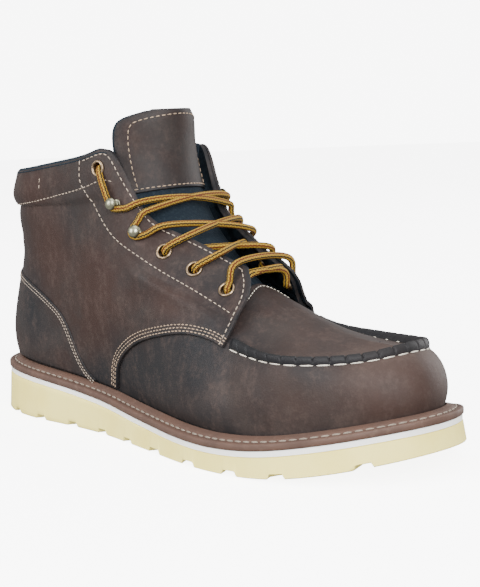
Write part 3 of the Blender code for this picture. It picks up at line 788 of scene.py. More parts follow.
# Heel counter
# A stiff leather panel wrapped round the heel over the quarters, held by a close double row of
# stitches along its edge.
QUARTER_TOP = 1.75
COUNTER_TOP = 2.4
OVERLAY_FOOT = 0.16
LEATHER_REST = 0.1
PANEL_EDGE_DARK_REACH = 2.0
COUNTER_ROWS = (-1.6, -3.4)
COUNTER_STITCH = Stitch(2.1, 1.7, 0.75)
COUNTER_EDGE = (
    Edge(0.0, 1.95),
    Edge(1.0, 1.90),
    Edge(2.0, 1.73),
    Edge(2.6, 1.56),
    Edge(3.0, 1.36),
    Edge(3.25, 0.95),
    Edge(3.45, 0.48),
    Edge(11 / 3, 0.2),
)


def beside(line, distance):
    """A line in u and v, drawn a distance to the left of another on the upper."""
    step = 0.01
    u, v = line.T
    here = upper_point(u, v)
    by_u = (upper_point(u + step, v) - here) / step
    by_v = (here - upper_point(u, v - step)) / step
    ahead = unit_rows(np.gradient(here, axis=0))
    left = unit_rows(np.cross(np.cross(by_u, by_v), ahead)) * distance
    uu, uv, vv = (np.sum(a * b, axis=1) for a, b in ((by_u, by_u), (by_u, by_v), (by_v, by_v)))
    lu, lv = np.sum(left * by_u, axis=1), np.sum(left * by_v, axis=1)
    whole = uu * vv - uv**2
    return line + np.column_stack([(vv * lu - uv * lv) / whole, (uu * lv - uv * lu) / whole])


def panel(name, bm, u, v, top, finish, node, holes=None, inner=0):
    """A leather panel over the upper, darker at its cut edge, partly as painted shade, and rounded there.
    """
    move_verts(bm.verts, upper_point(u, v, top))
    close_seams(bm)
    mark_wear_and_painted_light(bm, PANEL_EDGE_DARK_REACH)
    if holes:
        punch_holes(bm, holes)
    give_wall(bm, QUARTER_TOP - LEATHER_REST, inner, rounding=0.45)
    return add_piece(name, bm, finish, "leather", node)


counter_leather = leather_finish("counter_leather", 0.55)
thread = thread_finish("pale_thread", THREAD)
grey_thread = thread_finish("grey_thread", THREAD_GREY)
counter_line = smooth_edge(COUNTER_EDGE)
counter, along, across = cloth_grid(150, 40)
u = (2 * along - 1) * COUNTER_EDGE[-1].u
edge_v = np.interp(np.abs(u), *counter_line.T)
v = OVERLAY_FOOT + (edge_v - OVERLAY_FOOT) * across
panel("counter_panel", counter, u, v, COUNTER_TOP, [counter_leather], "heel_counter")

counter_stitches = bmesh.new()
counter_round = np.vstack([counter_line[:0:-1] * (-1, 1), counter_line])
for distance in COUNTER_ROWS:
    row = beside(counter_round, distance)
    sew_on_upper(counter_stitches, *row.T, COUNTER_TOP, COUNTER_STITCH)
add_piece("counter_stitches", counter_stitches, [grey_thread], "lace")


# Quarters
# The side panels run from the back seam to the front of the lace flaps. They lie over the vamp in a
# low arch sewn with three rows, and their padded cuff is quilted off by one row below the collar.
VAMP_EDGE = (
    Edge(4.3, 0.16),
    Edge(4.42, 0.75),
    Edge(4.75, 1.12),
    Edge(5.4, 1.42),
    Edge(6.25, 1.62),
    Edge(7.05, 1.78),
    Edge(7.7, 1.86),
    Edge(8.06, 1.84),
)
EYESTAY_SEAM = (
    Edge(3.8, 3.97),
    Edge(3.84, 3.7),
    Edge(4.05, 3.53),
    Edge(4.45, 3.2),
    Edge(4.95, 2.95),
    Edge(5.55, 2.95),
    Edge(6.3, 3.03),
    Edge(7.25, 2.92),
    Edge(8.15, 2.82),
)
CUFF_LINE = (
    Edge(0.05, 3.45),
    Edge(1.6, 3.48),
    Edge(2.85, 3.56),
    Edge(3.75, 3.62),
    Edge(4.9, 3.68),
)
BAR_TACK = (Edge(2.55, 3.68), Edge(2.55, 3.86))
FRONT_ROW = 2.2
RIM_ROW = 2.4
RIM_ROW_ENDS = (8.7, 3.85)
ARCH_ROWS = (1.5, 3.2, 4.9)
QUARTER_STITCH = Stitch(3.3, 2.4, 0.65)
ARCH_STITCH = Stitch(2.6, 1.95, 0.65)
BACK_SEAM = 0.012
COUNTER_LAP = 0.1
COUNTER_TUCK = 0.9
vamp_line = smooth_edge(VAMP_EDGE)
lower_line = np.vstack([counter_line - (0, COUNTER_LAP), vamp_line])
lower_line[:, 1] = np.maximum(lower_line[:, 1], OVERLAY_FOOT)


def quarter_place(along, across):
    """u and v of a place on a quarter, counted from its back seam and lower edge."""
    v = across * RIM
    for settle in range(12):
        front = np.interp(v, front_line[:, 1], front_line[:, 0])
        u = BACK_SEAM + along * (front - BACK_SEAM)
        lower = np.interp(u, *lower_line.T)
        v = lower + across * (RIM - lower)
    return u, v


def sew_quarter(name, rows, side, stitch, finish):
    """Rows of stitches on a quarter, as one piece."""
    bm = bmesh.new()
    for row in rows:
        sew_on_upper(bm, quarter_u(row[:, 0], side), row[:, 1], QUARTER_TOP, stitch)
    add_piece(name, bm, [finish], "lace")


tan_thread = thread_finish("tan_thread", THREAD_TAN)
rim_line = np.column_stack([np.linspace(*RIM_ROW_ENDS, 200), np.full(200, RIM)])
pale_rows = [beside(front_line, FRONT_ROW), beside(rim_line, RIM_ROW)]
pale_rows += [smooth_edge(EYESTAY_SEAM), smooth_edge(CUFF_LINE), np.array(BAR_TACK)]
arch_rows = [beside(vamp_line, distance) for distance in ARCH_ROWS]
for side in SIDES:
    sheet, along, across = cloth_grid(210, 84)
    column = along if side == "lateral" else 1 - along
    u, v = quarter_place(column, across)
    under = np.clip((v - np.interp(u, *counter_line.T)) / COUNTER_LAP, -1, 0)
    top = QUARTER_TOP + COUNTER_TUCK * under * (u < COUNTER_EDGE[-1].u)
    name = f"quarter_{side}"
    panel(f"{name}_panel", sheet, quarter_u(u, side), v, top, [leather, lining], name, side, 1)
    sew_quarter(f"{name}_stitches", pale_rows, side, QUARTER_STITCH, thread)
    sew_quarter(f"arch_{side}_stitches", arch_rows, side, ARCH_STITCH, tan_thread)


# Collar lining
# Dark foam-backed fabric, turned over the top edge of the cuff as a narrow binding and down inside.
COLLAR_REACH = 4.75
COLLAR_OUTSIDE = 0.035
COLLAR_ROLL = 2.0
COLLAR_PAD = 2.6
COLLAR_TURNED = 0.35
BINDING_LIFT = 0.25
LINING_LIFT = -0.5
COLLAR_WALL = 0.5
collar, along, turn = cloth_grid(200, 30)
u = (2 * along - 1) * COLLAR_REACH
over = np.clip(turn / COLLAR_TURNED, 0, 1)
inside = np.clip((turn - COLLAR_TURNED) / (1 - COLLAR_TURNED), 0, 1)
lift = np.interp(over, [0, 1], [QUARTER_TOP + BINDING_LIFT, LINING_LIFT - UPPER_WALL])
lift = lift - COLLAR_PAD * np.sin(pi * inside)
v = RIM - COLLAR_OUTSIDE * (1 - over) - (RIM - CUFF_SEAM) * inside
point, normal, upward = upper_frame(u, v)
rise = COLLAR_ROLL * np.sin(pi * over) * np.clip((1 - np.abs(2 * along - 1)) * 12, 0.2, 1)
move_verts(collar.verts, point + normal * lift[:, None] + upward * rise[:, None])
give_wall(collar, COLLAR_WALL, inner_finish=0, rounding=0.1)
collar_lining = add_piece("collar_lining", collar, [lining], "tongue")


# Tongue
# A padded strip of dark fabric, sewn in under the plug. A brown leather cover with a stitched border
# is sewn over its top, where it stands above the collar.
TONGUE_THICKNESS = 4.0
COVER_FROM = 4.78
COVER_PUFF = 0.5
COVER_WALL = 1.4
COVER_GAP = 0.6
BORDER_LATERAL = 0.84
BORDER_MEDIAL = 0.96
BORDER_FROM = 0.12
BORDER_BELOW_TOP = 1.3
BORDER_ROUND = 0.75
BORDER_POINTS = 60
BORDER_STITCH = Stitch(3.2, 2.3, 0.7)
HEM_FROM = 0.09
HEM_REACH = 0.98
HEM_STITCH = Stitch(3.0, 2.2, 0.7)
Strip = namedtuple("Strip", "x z half curl")
TONGUE = (
    Strip(58.0, 71.0, 11.0, 2.0),
    Strip(43.0, 78.6, 14.0, 3.5),
    Strip(26.0, 89.0, 19.0, 5.0),
    Strip(8.0, 101.5, 23.0, 6.0),
    Strip(-6.0, 117.0, 26.0, 9.0),
    Strip(-11.5, 135.0, 28.0, 15.0),
    Strip(-12.5, 153.0, 28.5, 20.0),
    Strip(-12.0, 166.5, 26.0, 18.0),
    Strip(-12.0, 173.0, 13.5, 6.0),
)
TONGUE_TOP = len(TONGUE) - 1


def tongue_point(place, reach, lift):
    """Points and outward normals of the tongue: place counts its rows, reach goes from side to side."""
    rows = np.array(TONGUE)
    x, z, half, curl = (spline_weights(place, len(TONGUE), False) @ rows).T
    ahead = spline_weights(place + STEP, len(TONGUE), False) @ rows
    rise = unit_rows(np.stack([ahead[:, 0] - x, ahead[:, 1] - z], axis=1))
    out = np.column_stack([rise[:, 1], 0 * x, -rise[:, 0]])
    drop = lift - curl * reach**2
    middle = np.column_stack([x, CENTRE_LINE + half * reach, z])
    side = np.column_stack([0 * x, 2 * curl * reach / half, 0 * x])
    return middle + out * drop[:, None], unit_rows(out + side)


body, along, turn = cloth_grid(110, 40)
place = along * TONGUE_TOP
angle = 2 * pi * turn
thick = TONGUE_THICKNESS / 2 * np.clip(np.minimum(along * 30, (1 - along) * 40), 0.05, 1) ** 0.5
reach = np.sign(np.cos(angle)) * np.abs(np.cos(angle)) ** 0.5 * 0.985
depth = thick * np.sin(angle) - TONGUE_THICKNESS / 2 - COVER_GAP
points, out = tongue_point(place - 0.12 * along**8, reach, depth)
move_verts(body.verts, points)
close_seams(body)
bmesh.ops.holes_fill(body, edges=body.edges, sides=0)
bmesh.ops.recalc_face_normals(body, faces=body.faces)
tongue_body = add_piece("tongue_body", body, [lining], "tongue", "tongue")

cover, along, across = cloth_grid(90, 70)
place = COVER_FROM + along * (TONGUE_TOP - COVER_FROM)
reach = 1 - 2 * across
puff = COVER_PUFF * np.clip(1 - reach**4, 0, 1) * np.clip((1 - along) * 8, 0, 1)
points, out = tongue_point(place, reach, puff)
move_verts(cover.verts, points)
mark_wear_and_painted_light(cover, PANEL_EDGE_DARK_REACH)
give_wall(cover, COVER_WALL, inner_finish=0, rounding=0.5)
add_piece("tongue_cover", cover, [leather_finish("tongue_leather", 0.6)], "tongue")

border = bmesh.new()
arch_from = TONGUE_TOP - BORDER_BELOW_TOP
arch_turn = np.linspace(0, pi, BORDER_POINTS)
straight = np.linspace(COVER_FROM + BORDER_FROM, arch_from, BORDER_POINTS)
border_place = np.concatenate([straight, arch_from + BORDER_ROUND * np.sin(arch_turn), straight[::-1]])
border_turn = np.concatenate([0 * arch_turn, arch_turn, 0 * arch_turn + pi])
border_middle = (BORDER_MEDIAL - BORDER_LATERAL) / 2
border_half = (BORDER_MEDIAL + BORDER_LATERAL) / 2
border_reach = border_middle - border_half * np.cos(border_turn)
hem_place = np.full(BORDER_POINTS, COVER_FROM + HEM_FROM)
hem_reach = np.linspace(-HEM_REACH, HEM_REACH, BORDER_POINTS)
tongue_rows = ((border_place, border_reach, BORDER_STITCH), (hem_place, hem_reach, HEM_STITCH))
for place, reach, stitch in tongue_rows:
    points, out = tongue_point(place, reach, ROW_LIFT + COVER_PUFF * (1 - reach**4))
    sew(border, points, out, stitch)
add_piece("tongue_stitches", border, [tan_thread], "lace")


# Eyelets and hooks
# Rolled brass eyelets are clinched through the flap, and above them domed lace hooks are riveted on.
EYELET_OUTER = 4.5
EYELET_INNER = 2.95
EYELET_LIP = 0.9
EYELET_UNDER = -0.2
BARREL_DEPTH = 4.6
BARREL_WALL = 0.35
HOOK_BASE = 2.7
HOOK_NECK = 1.2
HOOK_HEAD = 3.3
HOOK_STAND = 4.2
HOOK_DOME = 2.4
HOOK_RIM = 0.3
TURN_STEPS = 28
BRASS = (0.33, 0.24, 0.15, 1)
BRASS_DARK = (0.10, 0.07, 0.045, 1)
STEEL = (0.29, 0.285, 0.20, 1)
STEEL_DARK = (0.14, 0.14, 0.09, 1)


def metal_finish(name, bright, dull, roughness):
    """Plated metal, dulled in patches."""
    finish, place = start_finish(name)
    patches = ramp(noise(place, 350, 4), 0.4, 0.7)
    relief = bump(noise(place, 1500, 2), 0.00005, 0.5)
    return set_looks(finish, tint(patches, bright, dull), roughness + patches * 0.2, relief, metallic=1.0)


def holder_matrix(holder, side, lift):
    """Place of a lace holder on the flap: z points out of the leather."""
    point, normal, upward = upper_frame(side_u(holder.u, side), holder.v)
    out = Vector(normal[0])
    flat = Vector(upward[0])
    turn = Matrix((flat, out.cross(flat), out)).transposed().to_4x4()
    return Matrix.Translation((Vector(point[0]) + out * lift) * MM) @ turn


def turned(profile):
    """A round piece turned from a closed line of (radius, height) points about z."""
    bm = bmesh.new()
    verts = [bm.verts.new((radius * MM, 0, height * MM)) for radius, height in profile]
    edges = [bm.edges.new(pair) for pair in zip(verts, verts[1:] + verts[:1])]
    bmesh.ops.spin(
        bm,
        geom=verts + edges,
        cent=(0, 0, 0),
        axis=(0, 0, 1),
        angle=2 * pi,
        steps=TURN_STEPS,
        use_merge=True,
    )
    close_seams(bm)
    return bm


ring_middle = (EYELET_OUTER + EYELET_INNER) / 2
ring_half = (EYELET_OUTER - EYELET_INNER) / 2
lip_turn = np.linspace(0, pi, 9)
eyelet_profile = [(ring_middle + ring_half * cos(t), EYELET_LIP * sin(t)) for t in lip_turn]
barrel = EYELET_INNER + BARREL_WALL
eyelet_profile += [(EYELET_INNER, -BARREL_DEPTH), (barrel, -BARREL_DEPTH)]
eyelet_profile += [(barrel, EYELET_UNDER), (EYELET_OUTER - 0.3, EYELET_UNDER)]
dome_turn = np.linspace(0, pi / 2, 7)
hook_profile = [(0, 0), (HOOK_BASE, 0), (HOOK_BASE - 0.3, 0.5), (HOOK_NECK + 0.4, 0.6), (HOOK_NECK, 1.0)]
hook_profile += [(HOOK_NECK, HOOK_STAND - HOOK_RIM), (HOOK_HEAD - 0.5, HOOK_STAND)]
hook_profile += [(HOOK_HEAD * cos(t), HOOK_STAND + HOOK_RIM + HOOK_DOME * sin(t)) for t in dome_turn[:-1]]
hook_profile += [(0, HOOK_STAND + HOOK_RIM + HOOK_DOME)]

brass = metal_finish("antique_brass", BRASS, BRASS_DARK, 0.32)
steel = metal_finish("hook_steel", STEEL, STEEL_DARK, 0.3)
for side in SIDES:
    for holder in HOLDERS:
        hook = holder.kind == "hook"
        bm = turned(hook_profile if hook else eyelet_profile)
        bm.transform(holder_matrix(holder, side, QUARTER_TOP))
        node = f"{holder.kind}_{side}_{holder.name}"
        add_piece(f"{node}_metal", bm, [steel if hook else brass], holder.kind, node)


# Insole
# A footbed of dark foam-backed fabric, dished a little along its middle.
INSOLE_INSET = 12.4
INSOLE_TOP = 7.5
INSOLE_DISH = 0.2


def sole_layer(columns, rows, low, high):
    """A layer of the sole; rows give inset, rise from low to high, and reach from edge to middle."""
    bm, along, across = cloth_grid(columns, len(rows) - 1)
    number = np.rint(across * (len(rows) - 1)).astype(int)
    inset, rise, reach = np.array(rows)[number].T
    u = along * STATIONS
    edge = sole_edge(u, inset)
    middle = (edge + sole_edge(STATIONS - u, inset)) / 2
    plan = edge + (middle - edge) * reach[:, None]
    bottom = low(plan)
    move_verts(bm.verts, np.column_stack([plan, bottom + rise * (high(plan) - bottom)]))
    close_seams(bm)
    return bm


insole_rows = [(INSOLE_INSET, 0, 1), (INSOLE_INSET, 0, 0), (INSOLE_INSET, 1.0, 0)]
insole_rows += [
    (INSOLE_INSET, 1 - INSOLE_DISH * sin(pi / 2 * reach), reach) for reach in np.linspace(0.05, 1, 16)
]
bm = sole_layer(
    STATIONS * 8,
    insole_rows,
    lambda plan: ride_height(plan[:, 0]),
    lambda plan: ride_height(plan[:, 0]) + INSOLE_TOP,
)
add_piece("footbed", bm, [lining], "insole", "insole")


# Welt
# A strip of reddish leather all round the boot. A storm lip rises against the upper, and a pale lock
# stitch lies in a channel along its middle.
INSOLE_GAP = 0.3
WELT_EDGE = 3.4
WELT_LIP = 6.4
WELT_SEAT = 4.4
WELT_LIP_GAP = 0.8
WELT_CHANNEL = 3.4
CHANNEL_HALF = 1.0
CHANNEL_DEPTH = 0.7
WELT_STITCH = Stitch(5.1, 4.2, 1.0)
WELT_STITCH_LIFT = 0.25
WELT_SHINE = 0.25
WELT_BROWN = (0.088, 0.050, 0.037, 1)
WELT_DARK = (0.056, 0.034, 0.027, 1)
WELT_PALE = (0.125, 0.080, 0.061, 1)


def welt_finish():
    """Dyed welt leather with a fibrous, lightly rubbed edge."""
    finish, place = start_finish("welt_leather")
    clouds = ramp(noise(place, 70, 4), 0.35, 0.7)
    rub = ramp(noise(place, 260, 4), 0.55, 0.75)
    colour = tint(rub * 0.4, tint(clouds * 0.6, WELT_BROWN, WELT_DARK), WELT_PALE)
    relief = bump(noise(place, 1400, 4), 0.0002, 0.5)
    return set_looks(finish, colour, 0.55 + clouds * 0.2, relief, WELT_SHINE)


def welt_top(inset):
    """Height of the welt's top at an inset from its edge, with the stitch channel."""
    rise = WELT_EDGE + (WELT_LIP - WELT_EDGE) * (inset / WELT_FLANGE) ** 1.3
    return rise - CHANNEL_DEPTH * np.exp(-(((inset - WELT_CHANNEL) / CHANNEL_HALF) ** 2))


lip = WELT_FLANGE - WELT_LIP_GAP
inner = INSOLE_INSET - INSOLE_GAP
welt_profile = [(0.3, 0.0), (0.0, 0.3), (-0.1, 1.6), (0.0, 2.8), (0.25, welt_top(0.25) - 0.2)]
welt_profile += [(inset, welt_top(inset)) for inset in np.linspace(0.7, lip - 0.4, 18)]
welt_profile += [(lip, welt_top(lip) - 0.3), (lip + 0.3, WELT_SEAT), (inner, WELT_SEAT), (inner, 0.0)]
welt, around, turn = cloth_grid(STATIONS * 16, len(welt_profile))
corner = np.rint(turn * len(welt_profile)).astype(int) % len(welt_profile)
inset, height = np.array(welt_profile)[corner].T
plan = sole_edge(around * STATIONS, inset)
move_verts(welt.verts, np.column_stack([plan, ride_height(plan[:, 0]) + height]))
close_seams(welt)
add_piece("welt_strip", welt, [welt_finish()], "welt", "welt")

lock_stitches = bmesh.new()
plan = sole_edge(np.linspace(0, STATIONS, 900), WELT_CHANNEL)
height = ride_height(plan[:, 0]) + welt_top(WELT_CHANNEL) + WELT_STITCH_LIFT
upwards = np.tile((0.0, 0.0, 1.0), (len(plan), 1))
sew(lock_stitches, np.column_stack([plan, height]), upwards, WELT_STITCH)
add_piece("welt_stitches", lock_stitches, [grey_thread], "welt")


# Midsole
# A thin white rubber layer between welt and outsole; only its edge shows.
MIDSOLE_INSET = 0.6
MIDSOLE_THICKNESS = 3.0
LAYER_GAP = 0.3
MIDSOLE_WHITE = (0.93, 0.93, 0.90, 1)
MIDSOLE_SOILED = (0.84, 0.83, 0.78, 1)


def rubber_finish(name, clean, soiled, relief):
    """Moulded rubber with faint flow marks and a fine cast grain."""
    finish, place = start_finish(name)
    flow = ramp(noise(place, 40, 4), 0.35, 0.7)
    grain = noise(place, 1800, 3)
    specks = ramp(noise(place, 420, 3), 0.62, 0.8)
    colour = tint(flow * 0.6 + specks * 0.4, clean, soiled)
    return set_looks(finish, colour, 0.62 + flow * 0.15, bump(grain + specks * 0.6, relief, 0.6))


def edge_rows(inset_top, inset_bottom, rounding, steps):
    """Rows down a layer's side from its top middle, rounded a little at both edges."""
    rows = [(inset_top + rounding, 1, 1), (inset_top + rounding, 1, 0)]
    for share in np.linspace(0.04, 0.96, steps):
        rows.append((inset_top + (inset_bottom - inset_top) * share, 1 - share, 0))
    rows.append((inset_bottom + rounding, 0, 0))
    return rows


bm = sole_layer(
    STATIONS * 16,
    edge_rows(MIDSOLE_INSET, MIDSOLE_INSET, 0.4, 6) + [(MIDSOLE_INSET, 0, 1)],
    lambda plan: ride_height(plan[:, 0]) - MIDSOLE_THICKNESS,
    lambda plan: ride_height(plan[:, 0]) - LAYER_GAP / 3,
)
midsole_rubber = rubber_finish("midsole_rubber", MIDSOLE_WHITE, MIDSOLE_SOILED, 0.0001)
add_piece("midsole_layer", bm, [midsole_rubber], "midsole", "midsole")


# Outsole
# A cream wedge of light rubber, thick at the heel and springing up at the toe, moulded with wavy
# grooves across its tread that notch its lower edge.
OUTSOLE_INSET = 0.4
SOLE_FLARE = 1.2
SPRING_START = 70.0
SPRING_RISE = 12.3
GROOVE_FIRST = -126.0
GROOVE_PITCH = 29.0
GROOVE_COUNT = 10
GROOVE_WIDTH = 8.5
GROOVE_DEPTH = 2.3
GROOVE_WAVE = 4.0
GROOVE_WAVES = 4
GROOVE_REACH = 64.0
GROOVE_SLOPE = 0.24
OUTSOLE_CREAM = (0.80, 0.66, 0.15, 1)
OUTSOLE_PALE = (0.88, 0.76, 0.22, 1)


def tread_height(plan):
    """Height of the tread: flat under heel and ball, springing up at the toe, with its grooves."""
    x, y = plan.T
    spring = np.clip((x - SPRING_START) / (SECTIONS[-1].x - SPRING_START), 0, None)
    along = y / (2 * GROOVE_REACH) + 0.5
    wave = GROOVE_WAVE * (2 * np.abs(2 * ((along * GROOVE_WAVES) % 1) - 1) - 1)
    number = (x - wave - GROOVE_FIRST) / GROOVE_PITCH
    nearest = np.clip(np.rint(number), 0, GROOVE_COUNT - 1)
    away = np.abs(number - nearest) * GROOVE_PITCH / (GROOVE_WIDTH / 2)
    groove = GROOVE_DEPTH * np.clip((1 + GROOVE_SLOPE / 2 - away) / GROOVE_SLOPE, 0, 1)
    return SPRING_RISE * spring**2 + groove


outsole_rows = edge_rows(OUTSOLE_INSET, -SOLE_FLARE, 0.6, 9)
outsole_rows += [(-SOLE_FLARE, 0, reach) for reach in np.linspace(0.03, 1, 40)]
bm = sole_layer(
    STATIONS * 40,
    outsole_rows,
    tread_height,
    lambda plan: ride_height(plan[:, 0]) - MIDSOLE_THICKNESS - LAYER_GAP / 3,
)
outsole_rubber = rubber_finish("outsole_rubber", OUTSOLE_PALE, OUTSOLE_CREAM, 0.0002)
add_piece("outsole_wedge", bm, [outsole_rubber], "outsole", "outsole")


# Lace
# One round braided cord, gold with brown zigzag lines and dark lines between. Its middle is a bar over
# the lowest eyelets; both halves cross up the eyelets, round the hooks and into the top eyelets.
LACE_RADIUS = 1.75
LACE_REST = 0.25
LACE_TURN = 2.9
LACE_COLUMNS = 1500
LACE_EASE = 8
LACE_THROUGH = 2.6
LACE_RISE = np.array((0.8, 0.0, 0.6))
HOOK_WRAP = (-0.3, 0.3, 0.9, 1.5, 2.1)
TOP_LIFT = 0.6
TOP_ENTRY = 0.8
# Where the lace passes a flap's edge beside a holder, in and out, and its rise over the tongue after it
Pass = namedtuple("Pass", "holder inside_first edge_in near_u near_v away_u away_v edge_out arch")
LACE_ROUTE = (
    Pass(0, False, 8.45, 8.15, 3.6, 8.3, 3.6, 8.95, 0.0),
    Pass(1, True, 8.7, 7.7, 3.63, 7.4, 3.63, 7.8, 1.5),
    Pass(2, True, 7.3, 6.77, 3.69, 6.7, 3.69, 7.1, 3.0),
    Pass(3, False, 6.6, 6.15, 3.68, 5.83, 3.72, 6.1, 5.0),
    Pass(4, False, 5.9, 5.45, 3.6, 4.7, 3.6, None, 0.0),
)
LACE_GOLD = (0.215, 0.113, 0.008, 1)
LACE_RIB_HIGHLIGHT = (0.35, 0.21, 0.024, 1)
LACE_RED = (0.085, 0.020, 0.006, 1)
LACE_DARK = (0.012, 0.009, 0.007, 1)
LACE_SHINE = 0.2
LINES_ROUND = 3
RIBS_ROUND = 6
RIBS_ALONG = 4.2
ZIGZAGS_ALONG = 0.42


def lace_finish():
    """Braided cord: gold ribs, a brown zigzag line and a dark line, each three times round."""
    finish, place = start_finish("lace_cord")
    uv = place.node("ShaderNodeUVMap", {"uv_map": "lace"}, {})
    split = uv.node("ShaderNodeSeparateXYZ", {}, {0: uv})
    length = Shade(uv.tree, split.output.node.outputs[0])
    around = Shade(uv.tree, split.output.node.outputs[1])
    zigzag = abs(length.math("FRACT", length * ZIGZAGS_ALONG) - 0.5)
    stripe = abs(around.math("FRACT", around * LINES_ROUND + zigzag * 0.16) - 0.5)
    ribs_round = around * (2 * pi * RIBS_ROUND)
    braid_left = length.math("SINE", length * RIBS_ALONG + ribs_round)
    braid_right = length.math("SINE", length * RIBS_ALONG - ribs_round)
    ribs = braid_left.math("MAXIMUM", braid_left, braid_right)
    # Painted highlight and shade: the gold is paler on the braid's raised ribs and darker in the grooves
    # between.
    gold = tint(ramp(ribs, -0.2, 0.9), LACE_GOLD, LACE_RIB_HIGHLIGHT)
    brown = tint(1 - ramp(stripe, 0.09, 0.15), gold, LACE_RED)
    colour = tint(ramp(stripe, 0.37, 0.43), brown, LACE_DARK)
    return set_looks(finish, colour, 0.65 + ribs * 0.1, bump(ribs, 0.0003, 0.8), LACE_SHINE)


def flap_point(u, v, side, lift):
    """One point that stands lift off a flap."""
    return upper_point(side_u(u, side), v, lift)[0]


def lace_half(start):
    """Route of half the lace from the lowest bar up to a top eyelet."""
    outside = QUARTER_TOP + LACE_RADIUS + LACE_REST
    inside = -UPPER_WALL - LACE_RADIUS - LACE_REST
    side = start
    points = []
    arch = None
    for step in LACE_ROUTE:
        holder = HOLDERS[step.holder]
        point, normal, upward = upper_frame(side_u(holder.u, side), holder.v)
        point, normal, upward = point[0], normal[0], upward[0]
        onward = np.cross(normal, upward) * (1 if side == "lateral" else -1)
        enter = inside if step.inside_first else outside
        leave = inside if holder.kind == "eyelet" and not step.inside_first else outside
        edge = flap_point(step.edge_in, RIM, side, enter)
        if arch:
            points.append((points[-1] + edge) / 2 + arch * LACE_RISE)
        points.append(edge)
        points.append(flap_point(step.near_u, step.near_v, side, enter))
        if holder.kind == "eyelet":
            through = (1, 0, -1) if leave > enter else (-1, 0, 1)
            for level in through[::-1]:
                middle = (QUARTER_TOP - UPPER_WALL) / 2
                points.append(point + normal * (middle + level * LACE_THROUGH))
        else:
            for angle in HOOK_WRAP:
                reach = sin(angle) * onward - cos(angle) * upward
                points.append(point + normal * outside + reach * LACE_TURN)
        if step.edge_out is None:
            top = HOLDERS[-1]
            points.pop()
            points.append(flap_point(step.away_u, step.away_v, side, outside + TOP_LIFT))
            points.append(flap_point(top.u, top.v, side, TOP_ENTRY))
            points.append(flap_point(top.u, top.v, side, inside))
        else:
            points.append(flap_point(step.away_u, step.away_v, side, leave))
            points.append(flap_point(step.edge_out, RIM, side, leave))
            side = SIDES[1 - SIDES.index(side)]
        arch = step.arch
    return np.array(points)


def cord_tube(route, radius, columns):
    """A round cord eased along a route's points, with its length and turn as a UV map."""
    fine = spline_weights(np.linspace(0, len(route) - 1, 4000), len(route), False) @ route
    run = arc_lengths(fine)
    even = np.linspace(0, run[-1], columns + 1)
    line = along_line(fine, run, even)
    ease = np.hanning(2 * LACE_EASE + 1)
    line = np.pad(line, ((LACE_EASE, LACE_EASE), (0, 0)), mode="edge")
    line = np.column_stack([np.convolve(column, ease / ease.sum(), "valid") for column in line.T])
    ahead = unit_rows(np.gradient(line, axis=0))
    side = np.cross(ahead[0], (0.0, 0.0, 1.0))
    sides = []
    for direction in ahead:
        side = side - direction * (side @ direction)
        side = side / np.linalg.norm(side)
        sides.append(side)
    sides = np.array(sides)
    bm, along, around = cloth_grid(columns, 12)
    layer = bm.loops.layers.uv.new("lace")
    for face in bm.faces:
        for loop in face.loops:
            loop[layer].uv = ((loop.vert.co.x + 0.5) * run[-1], loop.vert.co.y + 0.5)
    number = np.rint(along * columns).astype(int)
    angle = 2 * pi * around
    out = sides[number] * np.cos(angle)[:, None] + np.cross(ahead, sides)[number] * np.sin(angle)[:, None]
    move_verts(bm.verts, line[number] + out * radius)
    close_seams(bm)
    bmesh.ops.holes_fill(bm, edges=bm.edges, sides=0)
    bmesh.ops.recalc_face_normals(bm, faces=bm.faces)
    return bm


halves = [lace_half(start) for start in SIDES]
route = np.vstack([halves[0][::-1], halves[1]])
lace_mesh = cord_tube(route, LACE_RADIUS, LACE_COLUMNS)
add_piece("lace_cord", lace_mesh, [lace_finish()], "lace", "lace")


# Studio
# A plain pale floor and a round white backdrop, soft light, and a camera at the photograph's angle.
# Floor and backdrop show bright but throw no light on the boot.
CAMERA_PLACE = (0.52169, -0.46908, 0.16681)
CAMERA_BACK = (0.71646, -0.68508, 0.13169)
CAMERA_UP = (-0.06804, 0.11925, 0.99053)
CAMERA_LENS = 81.44
STAGE_SIZE = 6.0
STAGE_WHITE = (0.9, 0.9, 0.9, 1)
STAGE_ROUGHNESS = 0.9
FLOOR_GLOW = 7.0
BACKDROP_GLOW = 8.0
WORLD_LIGHT = 0.75
LAMP_AIM = (0.0, 0.0, 0.06)
Lamp = namedtuple("Lamp", "name place size power")
LAMPS = (
    Lamp("overhead", (0.3, 0.0, 1.7), 1.6, 22),
    Lamp("key", (1.6, -1.0, 0.9), 1.0, 84),
    Lamp("side_fill", (-0.5, -1.7, 0.7), 1.2, 44),
    Lamp("back_fill", (0.3, 1.9, 0.5), 1.2, 24),
)
floor_mesh = bmesh.new()
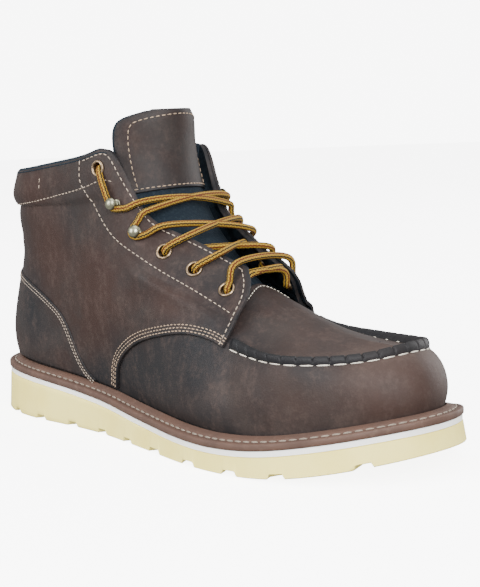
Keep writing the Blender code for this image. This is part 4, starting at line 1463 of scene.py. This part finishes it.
bmesh.ops.create_grid(floor_mesh, x_segments=1, y_segments=1, size=STAGE_SIZE)
backdrop_mesh = bmesh.new()
bmesh.ops.create_cone(
    backdrop_mesh,
    segments=64,
    radius1=STAGE_SIZE,
    radius2=STAGE_SIZE,
    depth=2 * STAGE_SIZE,
    cap_ends=False,
)
for name, bm, glow in (("floor", floor_mesh, FLOOR_GLOW), ("backdrop", backdrop_mesh, BACKDROP_GLOW)):
    mesh = bpy.data.meshes.new(name)
    bm.to_mesh(mesh)
    bm.free()
    stage = bpy.data.objects.new(name, mesh)
    bpy.context.scene.collection.objects.link(stage)
    stage.visible_diffuse = False
    stage.visible_glossy = False
    stage.visible_shadow = False
    finish, place = start_finish(f"white_{name}")
    looks = {
        "Base Color": STAGE_WHITE,
        "Roughness": STAGE_ROUGHNESS,
        "Emission Color": STAGE_WHITE,
        "Emission Strength": glow,
    }
    place.feed(finish.node_tree.nodes["Principled BSDF"].inputs, looks)
    mesh.materials.append(finish)

for lamp in LAMPS:
    light = bpy.data.lights.new(lamp.name, "AREA")
    light.size = lamp.size
    light.energy = lamp.power
    holder = bpy.data.objects.new(lamp.name, light)
    holder.location = lamp.place
    holder.rotation_euler = (Vector(LAMP_AIM) - Vector(lamp.place)).to_track_quat("-Z", "Y").to_euler()
    bpy.context.scene.collection.objects.link(holder)

world = bpy.data.worlds.new("studio")
world.use_nodes = True
world.node_tree.nodes["Background"].inputs["Color"].default_value = (1, 1, 1, 1)
world.node_tree.nodes["Background"].inputs["Strength"].default_value = WORLD_LIGHT
bpy.context.scene.world = world

camera_data = bpy.data.cameras.new("camera")
camera_data.lens = CAMERA_LENS
camera = bpy.data.objects.new("camera", camera_data)
camera_right = Vector(CAMERA_UP).cross(Vector(CAMERA_BACK))
camera_turn = Matrix((camera_right, Vector(CAMERA_UP), Vector(CAMERA_BACK))).transposed().to_4x4()
camera.matrix_world = Matrix.Translation(CAMERA_PLACE) @ camera_turn
bpy.context.scene.collection.objects.link(camera)
bpy.context.scene.camera = camera
